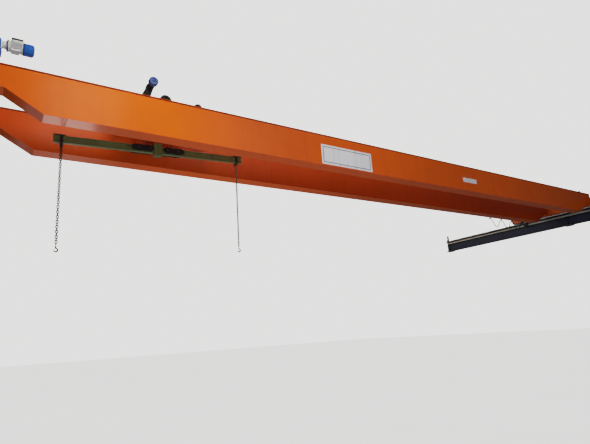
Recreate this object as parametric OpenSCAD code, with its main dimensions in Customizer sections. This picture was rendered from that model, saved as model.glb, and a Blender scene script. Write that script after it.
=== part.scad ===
// Overhead travelling crane: two box girders on a pair of runway beams, with a
// rope hoist crab on top and a roped lifting beam hanging between the girders.
// X runs along the span, Y along the runway and Z up. The origin is under the
// middle bearing plate of the left runway beam.

/* [Runway] */
// Distance between the two runway rails
span = 20000; // [18000:250:22000]
// Length of runway that is built
runway_l = 12000; // [11000:500:16000]
// Depth of a runway beam
runway_h = 480; // [420:10:560]
// Flange width of a runway beam
runway_w = 200; // [180:5:240]
// Flange thickness of a runway beam
runway_flange_t = 16; // [12:1:22]
// Web thickness of a runway beam
runway_web_t = 10; // [8:1:16]
// Width of the runway rail
rail_w = 60; // [50:1:70]
// Height of the runway rail
rail_h = 50; // [40:1:70]
// Side of a square bearing plate
plate_w = 300; // [270:5:340]
// Thickness of a bearing plate
plate_t = 20; // [15:1:30]
// Spacing of the bolt holes in a bearing plate
plate_pitch = 240; // [236:1:250]
// Diameter of the bolt holes in a bearing plate
plate_hole_d = 26; // [18:1:28]

/* [Bridge] */
// Distance between the middle planes of the two girders
girder_gauge = 1670; // [1600:10:1800]
// Depth of a girder in its middle
girder_h = 780; // [700:10:900]
// Depth of a girder at its ends
girder_end_h = 420; // [400:5:460]
// Width of a girder's flanges
girder_w = 340; // [320:5:380]
// How far a flange stands out past the web
flange_lip = 25; // [15:1:35]
// Thickness of a girder's flanges
flange_t = 12; // [8:1:16]
// Thickness of a girder's webs
web_t = 8; // [6:1:12]
// Distance from the rail to where the soffit starts to drop
taper_from = 400; // [350:10:500]
// Distance from the rail to where the girder has its full depth
taper_to = 1000; // [900:10:1300]
// Height of the girders' soffit above the bearing plates' underside
soffit_z = 270; // [240:5:290]
// Distance between the wheels of an end carriage
wheelbase = 3900; // [3600:50:4200]
// Diameter of the bridge wheels' tread
wheel_d = 250; // [230:5:270]
// Height of an end carriage
carriage_h = 320; // [280:5:340]
// Width of an end carriage
carriage_w = 220; // [200:5:240]
// Width of the crab rails
crab_rail_w = 40; // [30:1:50]
// Height of the crab rails
crab_rail_h = 30; // [25:1:40]

/* [Crab] */
// Distance between the crab's rails
crab_gauge = 1480; // [1440:10:1500]
// Distance between the crab's wheels along the girder
crab_wheelbase = 1080; // [1000:10:1200]
// Distance from the left runway rail to the middle of the crab
crab_x = 3307; // [3200:10:6000]
// How far left of the crab's middle the hoist hangs
hoist_offset = 77; // [40:1:90]
// Diameter of the crab wheels' tread
crab_wheel_d = 160; // [150:1:180]
// Diameter of a rope drum
drum_d = 180; // [170:1:186]
// Diameter of the hoist rope
rope_d = 8; // [6:0.5:10]

/* [Lifting beam] */
// Length of the lifting beam
lift_l = 3940; // [3600:20:4000]
// Depth of the lifting beam
lift_h = 140; // [130:1:160]
// Width of the lifting beam's flanges
lift_w = 80; // [60:1:90]
// Height of the lifting beam's middle above the bearing plates' underside
lift_z = 373; // [340:1:390]
// How far the lifting beam's right end hangs up, in degrees
lift_tilt = 2.5; // [0:0.1:3]
// Diameter of a rope sheave
sheave_d = 132; // [126:1:150]
// Bar diameter of the chain's links
chain_d = 13; // [10:0.5:14]
// Number of links in a chain
chain_n = 49; // [40:1:54]

/* [Hidden] */
$fn = 48;

// Running gap that keeps a wheel just off its rail
gap = 0.3;
// Radial clearance of a pin in its bore
pin_gap = 0.1;
// Overlap of a cut past the face that it opens
cut = 1;

// Heights of the runway and of the bridge on it
beam_top = plate_t + runway_h;
rail_top = beam_top + rail_h;
axle_z = rail_top + gap + wheel_d / 2;
carriage_z = rail_top + 30;
carriage_top = carriage_z + carriage_h;
girder_top = soffit_z + girder_h;
girder_end_z = girder_top - girder_end_h;

// Positions along the span
carriage_face = carriage_w / 2;
end_plate_t = 15;
girder_x0 = carriage_face + end_plate_t;
girder_x1 = span - girder_x0;
girder_y = girder_gauge / 2;
crab_rail_x0 = 300;
crab_stop_x0 = 200;
crab_stop_x1 = 280;
stop_t = 100;
rail_end = runway_l / 2 - stop_t - 20;

// The end carriages
carriage_wall = 10;
carriage_over = 700;
carriage_l = wheelbase + carriage_over;
wheel_flange = 20;
wheel_tread = rail_w + 10;
wheel_rim = 20;
axle_d = 60;
buffer_d = 110;
buffer_l = 80;
buffer_drop = 150;
buffer_z = carriage_top - buffer_drop;
stop_z = buffer_z + buffer_d / 2;

// The travel drives
drive_y = -wheelbase / 2;
drive_z = axle_z + 135;
gearbox_l = 205;
gearbox_d = 210;
neck_l = 75;
motor_d = 165;
motor_l = 205;
cowl_d = 182;
cowl_l = 145;

// The conductor bar and the collector that follows it
bar_w = 40;
bar_h = 50;
bar_x = span - 75;
bar_z = 380;
bracket_step = 1500;
collector_y = 1700;
collector_w = 200;
arm_t = 15;

// The crab
crab_y = crab_gauge / 2;
crab_rail_top = girder_top + crab_rail_h;
crab_axle_z = crab_rail_top + gap + crab_wheel_d / 2;
crab_wheel_w = 56;
crab_wheel_lip = 12;
crab_axle_d = 40;
frame_half_l = 907;
frame_x0 = crab_x - frame_half_l;
frame_x1 = crab_x + frame_half_l;
frame_y = 650;
frame_t = 50;
frame_in = frame_y - frame_t;
frame_z = girder_top + 20;
frame_h = 170;
cross_h = 60;
hoist_x = crab_x - hoist_offset;
drum_z = 1250;
drum_l = 598;
drum_gap = 105;
journal_d = 50;
hoist_box_w = 200;
hoist_box_l = 300;
hoist_box_h = 270;
hoist_motor_d = 240;
pedestal_w = 50;
crab_drive_rise = 170;
crab_drive_lean = 45;
crab_drive_z = crab_axle_z + crab_drive_rise;
crab_box_y = crab_y + 45;

// The ropes and the lifting beam
rope_y = drum_d / 2 + rope_d / 2 + gap;
sheave_x = [180, 410];
sheave_w = 30;
sheave_pin_d = 30;
cheek_t = 6;
cheek_r = 58;
cheek_ear = 80;
cheek_in = rope_y - sheave_w / 2 - 2 - cheek_t;
cheek_out = rope_y + sheave_w / 2 + 2;
fall = sheave_d / 2 + rope_d / 2 + gap;
lug_t = 12;
upper_z = drum_z - 235;
lift_flange_t = 9;
lift_web_t = 8;
hang_x = 1830;
hang_w = 54;
saddle_l = 200;
bracket_w = 164;
bracket_h = 250;
pin_d = 16;

// The chains and their hooks
chain_pitch = 3 * chain_d;
link_w = 3.4 * chain_d;
link_l = chain_pitch + 2 * chain_d;
eye_r = 22;
eye_bar = 14;
shank_l = 80;
hook_r = 32;
hook_d = 22;
hook_turn = 250;
hook_neck_d = 30;

// Height of the lifting beam's middle line at a distance from the hoist's middle
function lift_at(x) = lift_z + x * tan(lift_tilt);

// A box from its lowest to its highest corner
module block(low, high) {
    translate(low)
        cube(high - low);
}

// The same piece at both rails, drawn for the left one
module both_rails() {
    children();
    translate([span, 0, 0])
        mirror([1, 0, 0])
            children();
}

// The same piece on both sides of the middle plane
module both_sides() {
    children();
    mirror([0, 1, 0])
        children();
}

// A cylinder along X, from x0, centred on y and z
module rod_x(d, x0, l, y, z) {
    translate([x0, y, z])
        rotate([0, 90, 0])
            cylinder(d = d, h = l);
}

// A cylinder along Y, from y0, centred on x and z
module rod_y(d, x, y0, l, z) {
    translate([x, y0, z])
        rotate([-90, 0, 0])
            cylinder(d = d, h = l);
}

// A flat outline in X and Z, made thick along Y about the middle plane
module profile_y(points, w) {
    rotate([90, 0, 0])
        linear_extrude(w, center = true)
            polygon(points);
}

// RUNWAY

plate_rows = [-runway_l / 2 + plate_w / 2, 0, runway_l / 2 - plate_w / 2];

module bearing_plates() {
    color("#3a3d42")
        both_rails()
            for (y = plate_rows)
                translate([0, y, 0])
                    difference() {
                        block([-plate_w / 2, -plate_w / 2, 0], [plate_w / 2, plate_w / 2, plate_t]);
                        for (x = [-1, 1], s = [-1, 1])
                            translate([x * plate_pitch / 2, s * plate_pitch / 2, -cut])
                                cylinder(d = plate_hole_d, h = plate_t + 2 * cut);
                    }
}

// Rolled section with a pair of stiffeners over each bearing plate
module runway_beam() {
    color("#20242f") {
        for (z = [plate_t, beam_top - runway_flange_t])
            block([-runway_w / 2, -runway_l / 2, z], [runway_w / 2, runway_l / 2, z + runway_flange_t]);
        block([-runway_web_t / 2, -runway_l / 2, plate_t + runway_flange_t],
              [runway_web_t / 2, runway_l / 2, beam_top - runway_flange_t]);
        for (y = plate_rows)
            block([-runway_w / 2 + 60, y - 6, plate_t + runway_flange_t],
                  [runway_w / 2 - 60, y + 6, beam_top - runway_flange_t]);
    }
}

module runway_beams() {
    both_rails()
        runway_beam();
}

module runway_rails() {
    color("#4a3f38")
        both_rails()
            block([-rail_w / 2, -rail_end, beam_top], [rail_w / 2, rail_end, rail_top]);
}

// End stops that the buffers meet, each a post on a foot
module runway_stops() {
    color("#20242f")
        both_rails()
            both_sides() {
                block([-60, runway_l / 2 - stop_t, beam_top], [60, runway_l / 2, beam_top + 25]);
                block([-45, runway_l / 2 - stop_t, beam_top], [45, runway_l / 2 - stop_t + 25, stop_z]);
                profile_stop();
            }
}

// Web plate behind a stop's face
module profile_stop() {
    y0 = runway_l / 2 - stop_t;
    rotate([0, -90, 0])
        linear_extrude(16, center = true)
            polygon([[beam_top, y0], [stop_z - 30, y0], [beam_top + 60, y0 + stop_t], [beam_top, y0 + stop_t]]);
}

module conductor_bar() {
    color("#cfc79c")
        block([bar_x - bar_w / 2, -rail_end, bar_z], [bar_x + bar_w / 2, rail_end, bar_z + bar_h]);
}

// Arms from the runway beam's web that hold the conductor bar from behind
module conductor_brackets() {
    color("#15171a")
        for (i = [-3:1:4])
            translate([0, (i - 0.5) * bracket_step, 0]) {
                block([bar_x + bar_w / 2, -25, bar_z + 12], [span - runway_web_t / 2, 25, bar_z + 32]);
                block([bar_x - bar_w / 2 - 4, -25, bar_z + bar_h], [span - runway_web_t / 2, 25, bar_z + bar_h + 8]);
            }
}

// GIRDERS

// Soffit line of a girder, from the left end to the right
soffit = [
    [girder_x0, girder_end_z], [taper_from, girder_end_z], [taper_to, soffit_z],
    [span - taper_to, soffit_z], [span - taper_from, girder_end_z], [girder_x1, girder_end_z]
];
soffit_back = [for (i = [len(soffit) - 1:-1:0]) soffit[i]];

function raised(points, dz) = [for (p = points) [p[0], p[1] + dz]];

module top_flanges() {
    color("#d9651c")
        for (y = [-1, 1] * girder_y)
            block([girder_x0, y - girder_w / 2, girder_top - flange_t], [girder_x1, y + girder_w / 2, girder_top]);
}

// Plates bent twice at each end, where the girder gets shallower
module bottom_flanges() {
    color("#b4481c")
        for (y = [-1, 1] * girder_y)
            translate([0, y, 0])
                profile_y(concat(soffit, raised(soffit_back, flange_t)), girder_w);
}

module web(y) {
    top = girder_top - flange_t;
    color("#d9651c")
        translate([0, y, 0])
            profile_y(concat(raised(soffit, flange_t), [[girder_x1, top], [girder_x0, top]]), web_t);
}

web_y = girder_w / 2 - flange_lip - web_t / 2;

module near_outer_web() {
    web(-girder_y - web_y);
}

module near_inner_web() {
    web(-girder_y + web_y);
}

module far_outer_web() {
    web(girder_y + web_y);
}

module far_inner_web() {
    web(girder_y - web_y);
}

// Plates that close the girders' ends and bolt to the end carriages
module girder_end_plates() {
    color("#c9591a")
        both_rails()
            both_sides()
                block([carriage_face, girder_y - girder_w / 2 - 20, carriage_z + 10],
                      [girder_x0, girder_y + girder_w / 2 + 20, girder_top]);
}

module crab_rails() {
    color("#5a4a40")
        both_sides()
            block([crab_rail_x0, crab_y - crab_rail_w / 2, girder_top],
                  [span - crab_rail_x0, crab_y + crab_rail_w / 2, crab_rail_top]);
}

module crab_rail_stops() {
    color("#c9591a")
        both_rails()
            both_sides()
                block([crab_stop_x0, crab_y - 40, girder_top], [crab_stop_x1, crab_y + 40, girder_top + 160]);
}

// END CARRIAGES

// Box beam, open below at each wheel, with bored cheeks for the axles
module end_carriage() {
    half_l = carriage_l / 2;
    inner = carriage_w / 2 - carriage_wall;
    pocket = wheel_d / 2 + wheel_flange + 25;
    color("#d9651c")
        difference() {
            block([-carriage_w / 2, -half_l, carriage_z], [carriage_w / 2, half_l, carriage_top]);
            block([-inner, -half_l + carriage_wall, carriage_z + carriage_wall],
                  [inner, half_l - carriage_wall, carriage_top - carriage_wall]);
            for (y = [-1, 1] * wheelbase / 2) {
                block([-inner, y - pocket, carriage_z - cut], [inner, y + pocket, carriage_z + carriage_wall + cut]);
                rod_x(axle_d + 2 * pin_gap, -carriage_w / 2 - cut, carriage_w + 2 * cut, y, axle_z);
            }
        }
}

module end_carriages() {
    both_rails()
        end_carriage();
}

// Double-flanged wheels on their axles, one at each rail
module bridge_wheels(y) {
    width = wheel_tread + 2 * wheel_rim;
    color("#3b3430")
        both_rails() {
            rod_x(wheel_d, -width / 2, width, y, axle_z);
            for (x = [-width / 2, wheel_tread / 2])
                rod_x(wheel_d + 2 * wheel_flange, x, wheel_rim, y, axle_z);
            rod_x(axle_d, -carriage_w / 2, carriage_w, y, axle_z);
        }
}

module near_bridge_wheels() {
    bridge_wheels(-wheelbase / 2);
}

module far_bridge_wheels() {
    bridge_wheels(wheelbase / 2);
}

module bridge_buffers() {
    color("#1b1b1c")
        both_rails()
            both_sides() {
                rod_y(buffer_d, 0, carriage_l / 2 + 12, buffer_l, buffer_z);
                rod_y(buffer_d + 40, 0, carriage_l / 2, 12, buffer_z);
            }
}

// TRAVEL DRIVES

module travel_gearboxes() {
    color("#2d62ae")
        both_rails()
            difference() {
                hull() {
                    rod_x(gearbox_d, carriage_face, gearbox_l, drive_y, axle_z, $fn = 32);
                    rod_x(gearbox_d - 20, carriage_face, gearbox_l, drive_y, drive_z, $fn = 32);
                }
                block([carriage_face - cut, drive_y - 34, axle_z - 34], [carriage_face + 4, drive_y + 34, axle_z + 34]);
            }
}

drive_x = carriage_face + gearbox_l;

// A motor drawn along X from the gearbox's face: neck, flange, body and terminal box
module motor_body(d, l, neck) {
    rod_x(d * 0.66, 0, neck, 0, 0);
    rod_x(d * 1.06, neck, 14, 0, 0);
    rod_x(d, neck + 14, l - 14, 0, 0);
    block([neck + 30, -d * 0.32, d * 0.42], [l + neck - 25, d * 0.32, d * 0.5 + 45]);
}

// Fan cowl drawn along X, a drum with a chamfered end
module motor_cowl(d, l) {
    rod_x(d, 0, l - 25, 0, 0);
    translate([l - 25, 0, 0])
        rotate([0, 90, 0])
            cylinder(d1 = d, d2 = d - 40, h = 25, $fn = 48);
}

module travel_motors() {
    color("#9aa0a5")
        both_rails()
            translate([drive_x, drive_y, drive_z])
                motor_body(motor_d, motor_l, neck_l);
}

module travel_motor_cowls() {
    color("#2d62ae")
        both_rails()
            translate([drive_x + neck_l + motor_l, drive_y, drive_z])
                motor_cowl(cowl_d, cowl_l);
}

// BOARD, COLLECTOR AND ITS CABLE

board_l = 1600;
board_h = 500;
board_x = 7640;
board_t = 6;
board_z = soffit_z + 40;
web_face = girder_y + web_y + web_t / 2;

label_l = 650;
label_h = 140;
label_x = 12450;
label_rise = 275;
label_z = soffit_z + label_rise;

// A big bare board and a small bare plate on the near girder's outer web
module name_boards() {
    color("#e4e6ea") {
        block([board_x - board_l / 2, -web_face - board_t, board_z],
              [board_x + board_l / 2, -web_face, board_z + board_h]);
        block([label_x - label_l / 2, -web_face - board_t, label_z],
              [label_x + label_l / 2, -web_face, label_z + label_h]);
    }
}

arm_x = span - carriage_face - arm_t;

// Arm down the end carriage's side, with the shoe that follows the conductor bar
module collector() {
    color("#26282b") {
        block([arm_x, collector_y - 40, bar_z], [span - carriage_face, collector_y + 40, carriage_z + 100]);
        block([arm_x, collector_y - collector_w / 2, bar_z],
              [bar_x - bar_w / 2 - gap, collector_y + collector_w / 2, bar_z + bar_h - 5]);
    }
}

clip_pitch = 700;
clip_reach = 3700;
clip_x0 = span - clip_reach;
clip_n = 4;
clip_y = girder_y + girder_w / 2 + 22;
clip_z = soffit_z - 30;
cable_d = 26;
loop_sag = 300;
loop_steps = 12;

// Small saddles under the far girder's edge that carry the cable's loops
module cable_clips() {
    color("#26282b")
        for (i = [0:clip_n - 1])
            translate([clip_x0 + i * clip_pitch, 0, 0]) {
                block([-20, girder_y + girder_w / 2 - 40, soffit_z - 8], [20, clip_y + 20, soffit_z]);
                block([-20, clip_y - 20, clip_z + cable_d / 2], [20, clip_y + 20, soffit_z - 8]);
            }
}

// Loops between the clips, then the run from the last clip to the collector
loops = [
    for (i = [0:clip_n - 2], k = [0:loop_steps - 1])
        [clip_x0 + (i + k / loop_steps) * clip_pitch, clip_y, clip_z - loop_sag * (1 - cos(360 * k / loop_steps)) / 2]
];
lead_in = [
    [1480, 1030, 222], [1360, 1048, 160], [1220, 1090, 95], [1060, 1160, 55], [890, 1250, 45], [720, 1355, 75],
    [560, 1465, 145], [420, 1565, 235], [300, 1640, 330], [210, 1682, 415], [155, 1699, 455], [128, 1700, 460]
];
lead = concat([[clip_x0 + 3 * clip_pitch, clip_y, clip_z]], [for (p = lead_in) [span - p.x, p.y, p.z]]);

module collector_cable() {
    color("#17181a")
        tube(concat([[clip_x0 - 90, clip_y, clip_z]], loops, lead), cable_d / 2, 8);
}

// Round tube swept along a line of points
module tube(path, r, sides) {
    n = len(path);
    rings = [for (i = [0:n - 1]) ring(path[i], step(path, i, n), r, sides)];
    points = [for (q = rings, p = q) p];
    walls = [
        for (i = [0:n - 2], k = [0:sides - 1])
            let (a = i * sides + k, b = i * sides + (k + 1) % sides)
                [b, a, a + sides, b + sides]
    ];
    start = [for (k = [0:sides - 1]) k];
    end = [for (k = [sides - 1:-1:0]) (n - 1) * sides + k];
    polyhedron(points, concat(walls, [start, end]));
}

// Direction of the path at one of its points
function step(path, i, n) =
    let (v = path[min(i + 1, n - 1)] - path[max(i - 1, 0)])
        v / norm(v);

// Corners of the tube around one point, square to the direction t
function ring(p, t, r, sides) =
    let (s = cross(t, [0, 1, 0]), u = s / norm(s), w = cross(t, u))
        [for (k = [0:sides - 1]) p + r * (cos(360 * k / sides) * u + sin(360 * k / sides) * w)];

// CRAB

cross_bars = [frame_x0, frame_x1 - 100];

// Side plates joined by cross bars, with pedestals for the drums, lugs for the upper
// sheaves, anchors for the ropes' ends and a bracket that holds the drive
module crab_frame() {
    color("#d9651c") {
        difference() {
            both_sides()
                block([frame_x0, frame_in, frame_z], [frame_x1, frame_y, frame_z + frame_h]);
            for (x = [-1, 1] * crab_wheelbase / 2)
                rod_y(crab_axle_d + 2 * pin_gap, crab_x + x, -frame_y - cut, 2 * frame_y + 2 * cut, crab_axle_z);
        }
        for (x = cross_bars)
            block([x, -frame_in, frame_z], [x + 100, frame_in, frame_z + 120]);
        for (s = [-1, 1]) {
            pedestal(hoist_x + s * (drum_gap + drum_l + 10 + pedestal_w / 2));
            for (x = sheave_x) {
                for (m = [-1, 1])
                    lug_plate(hoist_x + s * (x - fall) + m * (sheave_w / 2 + 2 + lug_t / 2));
                rope_anchor(hoist_x + s * (x + fall));
            }
        }
        drive_bracket();
    }
}

// Cross bar with a bored block that holds a drum's journal
module pedestal(x) {
    difference() {
        union() {
            block([x - pedestal_w / 2, -frame_in, frame_z], [x + pedestal_w / 2, frame_in, frame_z + cross_h]);
            block([x - pedestal_w / 2, -70, frame_z], [x + pedestal_w / 2, 70, drum_z + 60]);
        }
        rod_x(journal_d + 2 * pin_gap, x - pedestal_w / 2 - cut, pedestal_w + 2 * cut, 0, drum_z);
    }
}

// Plate across the crab with a lug below it, bored for an upper sheave's pin
module lug_plate(x) {
    lug_r = 36;
    difference() {
        union() {
            block([x - lug_t / 2, -frame_in, frame_z], [x + lug_t / 2, frame_in, frame_z + cross_h]);
            block([x - lug_t / 2, -lug_r, upper_z - lug_r], [x + lug_t / 2, lug_r, frame_z]);
        }
        rod_x(sheave_pin_d + 2 * pin_gap, x - lug_t / 2 - cut, lug_t + 2 * cut, 0, upper_z);
    }
}

// Short bar from the far side plate that a rope's end is clamped to
module rope_anchor(x) {
    block([x - 20, rope_y - 24, frame_z], [x + 20, frame_in, frame_z + cross_h]);
}

// Arm over the drive wheel that keeps the gearbox from turning
module drive_bracket() {
    top = frame_z + frame_h;
    low = crab_axle_z + crab_wheel_d / 2 + crab_wheel_lip + 10;
    block([crab_drive_x - 40, -frame_y, top], [crab_drive_x + 40, -frame_in, low + 20]);
    block([crab_drive_x - 40, -crab_box_y, low], [crab_drive_x + 40, -frame_in, low + 20]);
}

// A pair of wheels overhung outside the side plates, each on a short axle
module crab_wheels(x, near_axle) {
    color("#26221f")
        for (s = [-1, 1])
            mirror([0, s < 0 ? 1 : 0, 0]) {
                reach = s < 0 ? near_axle : crab_box_y - 4;
                rod_y(crab_wheel_d, x, crab_y - crab_wheel_w / 2, crab_wheel_w, crab_axle_z);
                rod_y(crab_wheel_d + 2 * crab_wheel_lip, x, crab_y - crab_wheel_w / 2 - 12, 12, crab_axle_z);
                rod_y(crab_axle_d, x, frame_in, reach - frame_in, crab_axle_z);
            }
}

// The near wheel of this pair is the driven one, so its axle reaches into the gearbox
module left_crab_wheels() {
    crab_wheels(crab_x - crab_wheelbase / 2, crab_box_y + 30);
}

module right_crab_wheels() {
    crab_wheels(crab_x + crab_wheelbase / 2, crab_box_y - 4);
}

crab_drive_x = crab_x - crab_wheelbase / 2;
crab_box_l = 80;
crab_motor_y = crab_box_y + crab_box_l;
crab_motor_x = crab_drive_x + crab_drive_lean;
crab_box_low_d = 124;
crab_box_high_d = 140;
crab_motor_d = 125;
crab_motor_l = 140;
crab_cowl_d = 175;
crab_cowl_l = 105;

// Gearbox on the end of the drive wheel's axle, leaning so that its motor clears the wheel
module crab_gearbox() {
    color("#1f2226")
        difference() {
            hull() {
                rod_y(crab_box_low_d, crab_drive_x, -crab_motor_y, crab_box_l, crab_axle_z, $fn = 32);
                rod_y(crab_box_high_d, crab_motor_x, -crab_motor_y, crab_box_l, crab_drive_z, $fn = 32);
            }
            rod_y(crab_axle_d + 2 * pin_gap, crab_drive_x, -crab_box_y - 31, 31 + cut, crab_axle_z);
        }
}

module crab_motor() {
    color("#1f2226")
        translate([crab_motor_x, -crab_motor_y, crab_drive_z])
            rotate([0, 0, -90])
                motor_body(crab_motor_d, crab_motor_l, 20);
}

module crab_motor_cowl() {
    color("#2d62ae")
        translate([crab_motor_x, -crab_motor_y - crab_motor_l - 20, crab_drive_z])
            rotate([0, 0, -90])
                motor_cowl(crab_cowl_d, crab_cowl_l);
}

// HOIST

// Two drums with end flanges, either side of the gearbox that drives them
module rope_drums() {
    color("#55585c")
        for (s = [0, 1])
            translate([hoist_x, 0, 0])
                mirror([s, 0, 0]) {
                    rod_x(drum_d, drum_gap, drum_l, 0, drum_z);
                    rod_x(drum_d + 48, drum_gap, 12, 0, drum_z);
                    rod_x(drum_d + 48, drum_gap + drum_l - 12, 12, 0, drum_z);
                    rod_x(journal_d, hoist_box_w / 2 - 38, drum_gap + drum_l + 10 + pedestal_w - hoist_box_w / 2 + 38,
                          0, drum_z);
                }
}

module hoist_gearbox() {
    color("#26282b")
        difference() {
            block([hoist_x - hoist_box_w / 2, -hoist_box_l / 2, frame_z + cross_h],
                  [hoist_x + hoist_box_w / 2, hoist_box_l / 2, frame_z + cross_h + hoist_box_h]);
            for (x = [hoist_x - hoist_box_w / 2 - cut, hoist_x + hoist_box_w / 2 - 40])
                rod_x(journal_d + 2 * pin_gap, x, 40 + cut, 0, drum_z);
        }
}

// Sheaves under the drums that lead each rope from the near falls over to the far ones
module upper_sheaves() {
    color("#55585c")
        for (s = [-1, 1], x = sheave_x)
            translate([hoist_x + s * (x - fall), 0, upper_z])
                rotate([0, 90, 0]) {
                    rotate_extrude()
                        sheave_half(2 * rope_y - rope_d - 2 * gap);
                    cylinder(d = sheave_pin_d, h = sheave_w + 2 * lug_t + 20, center = true);
                }
}

hoist_motor_z = 1280;
hoist_motor_l = 440;

module hoist_motor() {
    color("#1b1b1c")
        translate([hoist_x, -hoist_box_l / 2, hoist_motor_z])
            rotate([0, 0, -90]) {
                rod_x(hoist_motor_d, 0, hoist_motor_l - 30, 0, 0);
                translate([hoist_motor_l - 30, 0, 0])
                    rotate([0, 90, 0])
                        cylinder(d1 = hoist_motor_d, d2 = hoist_motor_d - 70, h = 30);
            }
}

// Straight falls between the sheaves. Each rope comes off a drum's near side, goes under
// a near lower sheave, over an upper one, under a far lower one and up to its anchor.
module hoist_ropes() {
    color("#3a3a3a")
        for (s = [-1, 1], x = sheave_x) {
            foot = lift_at(s * x);
            for (m = [-1, 1])
                rope_fall(s * (x - fall), m * rope_y, foot, upper_z);
            rope_fall(s * (x + fall), -rope_y, foot, drum_z);
            rope_fall(s * (x + fall), rope_y, foot, frame_z);
        }
}

module rope_fall(x, y, foot, top) {
    translate([hoist_x + x, y, foot])
        cylinder(d = rope_d, h = top - foot, $fn = 24);
}

// LIFTING BEAM

// Carries what is drawn level, at the hoist's middle, to where the tilted beam hangs
module hung() {
    translate([hoist_x, 0, lift_z])
        rotate([0, -lift_tilt, 0])
            children();
}

hole_x = hang_x / cos(lift_tilt);

// Rolled section with a deep bracket in its middle, bored for the sheave pins
module lifting_beam() {
    color("#4c6b3f")
        hung()
            difference() {
                union() {
                    for (s = [-1, 1])
                        translate([0, 0, s * (lift_h - lift_flange_t) / 2])
                            cube([lift_l, lift_w, lift_flange_t], center = true);
                    cube([lift_l, lift_web_t, lift_h - lift_flange_t], center = true);
                    translate([0, 0, 10])
                        cube([bracket_w, lift_w + 40, bracket_h], center = true);
                }
                for (s = [-1, 1], x = sheave_x)
                    rod_y(sheave_pin_d + 2 * pin_gap, s * x / cos(lift_tilt), -lift_w, 2 * lift_w, 0);
            }
}

// Black plates either side of the sheaves, with the pins that carry them
module sheave_cheeks() {
    color("#1b1b1c")
        hung()
            for (s = [-1, 1]) {
                for (x = sheave_x)
                    rod_y(sheave_pin_d, s * x / cos(lift_tilt), -cheek_out - cheek_t - 8, 2 * (cheek_out + cheek_t + 8), 0);
                for (m = [-1, 1], y = [cheek_in, cheek_out])
                    translate([0, m * (y + cheek_t / 2), 0])
                        cheek(s);
            }
}

// Plate with round ends that spans both sheaves of one side and reaches past the outer one
module cheek(s) {
    x0 = sheave_x[0] / cos(lift_tilt);
    x1 = sheave_x[1] / cos(lift_tilt);
    x2 = x1 + cheek_ear;
    difference() {
        union() {
            translate([s * (x0 + x2) / 2, 0, 0])
                cube([x2 - x0, cheek_t, 2 * cheek_r], center = true);
            for (x = [x0, x2])
                rod_y(2 * cheek_r, s * x, -cheek_t / 2, cheek_t, 0);
        }
        for (x = [x0, x1])
            rod_y(sheave_pin_d + 2 * pin_gap, s * x, -cheek_t, 2 * cheek_t, 0);
    }
}

// Grooved wheels, their rims as wide as the cheeks leave room for
module lower_sheaves() {
    color("#55585c")
        hung()
            both_sides()
                for (s = [-1, 1], x = sheave_x)
                    translate([s * x / cos(lift_tilt), rope_y, 0])
                        rotate([90, 0, 0])
                            rotate_extrude()
                                sheave_half(sheave_d);
}

// Half section of a sheave, with a round groove for the rope
module sheave_half(tread_d) {
    rim = tread_d / 2 + 6;
    groove = tread_d / 2 + rope_d / 2 + gap;
    difference() {
        translate([sheave_pin_d / 2 + pin_gap, -sheave_w / 2])
            square([rim - sheave_pin_d / 2 - pin_gap, sheave_w]);
        translate([groove, 0])
            circle(d = rope_d + 2 * gap, $fn = 32);
        translate([groove, -rope_d / 2 - gap])
            square([rope_d, rope_d + 2 * gap]);
    }
}

// Saddle on the beam with two plates down its sides, and a pin below that the chain swings from
module hanger(s) {
    side = lift_w / 2 + 2;
    color("#25282a")
        hung()
            translate([s * hole_x, 0, 0]) {
                for (m = [-1, 1])
                    difference() {
                        translate([0, m * (side + 5), -22])
                            cube([hang_w, 10, lift_h + 84], center = true);
                        rod_y(pin_d + 2 * pin_gap, 0, -lift_w, 2 * lift_w, -lift_h / 2 - 40);
                    }
                translate([s * 28, 0, lift_h / 2 + 10])
                    cube([saddle_l, 2 * side, 20], center = true);
                rod_y(pin_d, 0, -side - 22, 2 * side + 44, -lift_h / 2 - 40);
            }
}

module chain_hangers() {
    for (s = [-1, 1])
        hanger(s);
}

// CHAINS

// Height of a hanger's pin, and the top link's place under it
function pin_x(s) = hoist_x + s * hole_x * cos(lift_tilt) + (lift_h / 2 + 40) * sin(lift_tilt);
function pin_z(s) = lift_z + s * hole_x * sin(lift_tilt) - (lift_h / 2 + 40) * cos(lift_tilt);

// One link, upright in the plane of X and Z, its middle at the origin
module link() {
    r = (link_w - chain_d) / 2;
    for (m = [-1, 1])
        translate([m * r, 0, -chain_pitch / 2 + (link_w / 2 - chain_d)])
            cylinder(d = chain_d, h = chain_pitch - link_w + 2 * chain_d, $fn = 24);
    for (m = [-1, 1])
        translate([0, 0, m * (chain_pitch / 2 - (link_w / 2 - chain_d))])
            rotate([m * 90, 0, 0])
                rotate_extrude(angle = 180, $fn = 24)
                    translate([r, 0])
                        circle(d = chain_d, $fn = 24);
}

module chain(s) {
    color("#2b2724")
        translate([pin_x(s), 0, pin_z(s) + pin_d / 2 + gap + chain_d / 2])
            for (i = [0:chain_n - 1])
                translate([0, 0, -chain_pitch / 2 - i * (chain_pitch - gap) - chain_d / 2])
                    rotate([0, 0, i % 2 == 0 ? 0 : 90])
                        link();
}

module left_chain() {
    chain(-1);
}

module right_chain() {
    chain(1);
}

chain_end = pin_d / 2 + gap - chain_n * (chain_pitch - gap);

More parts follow.
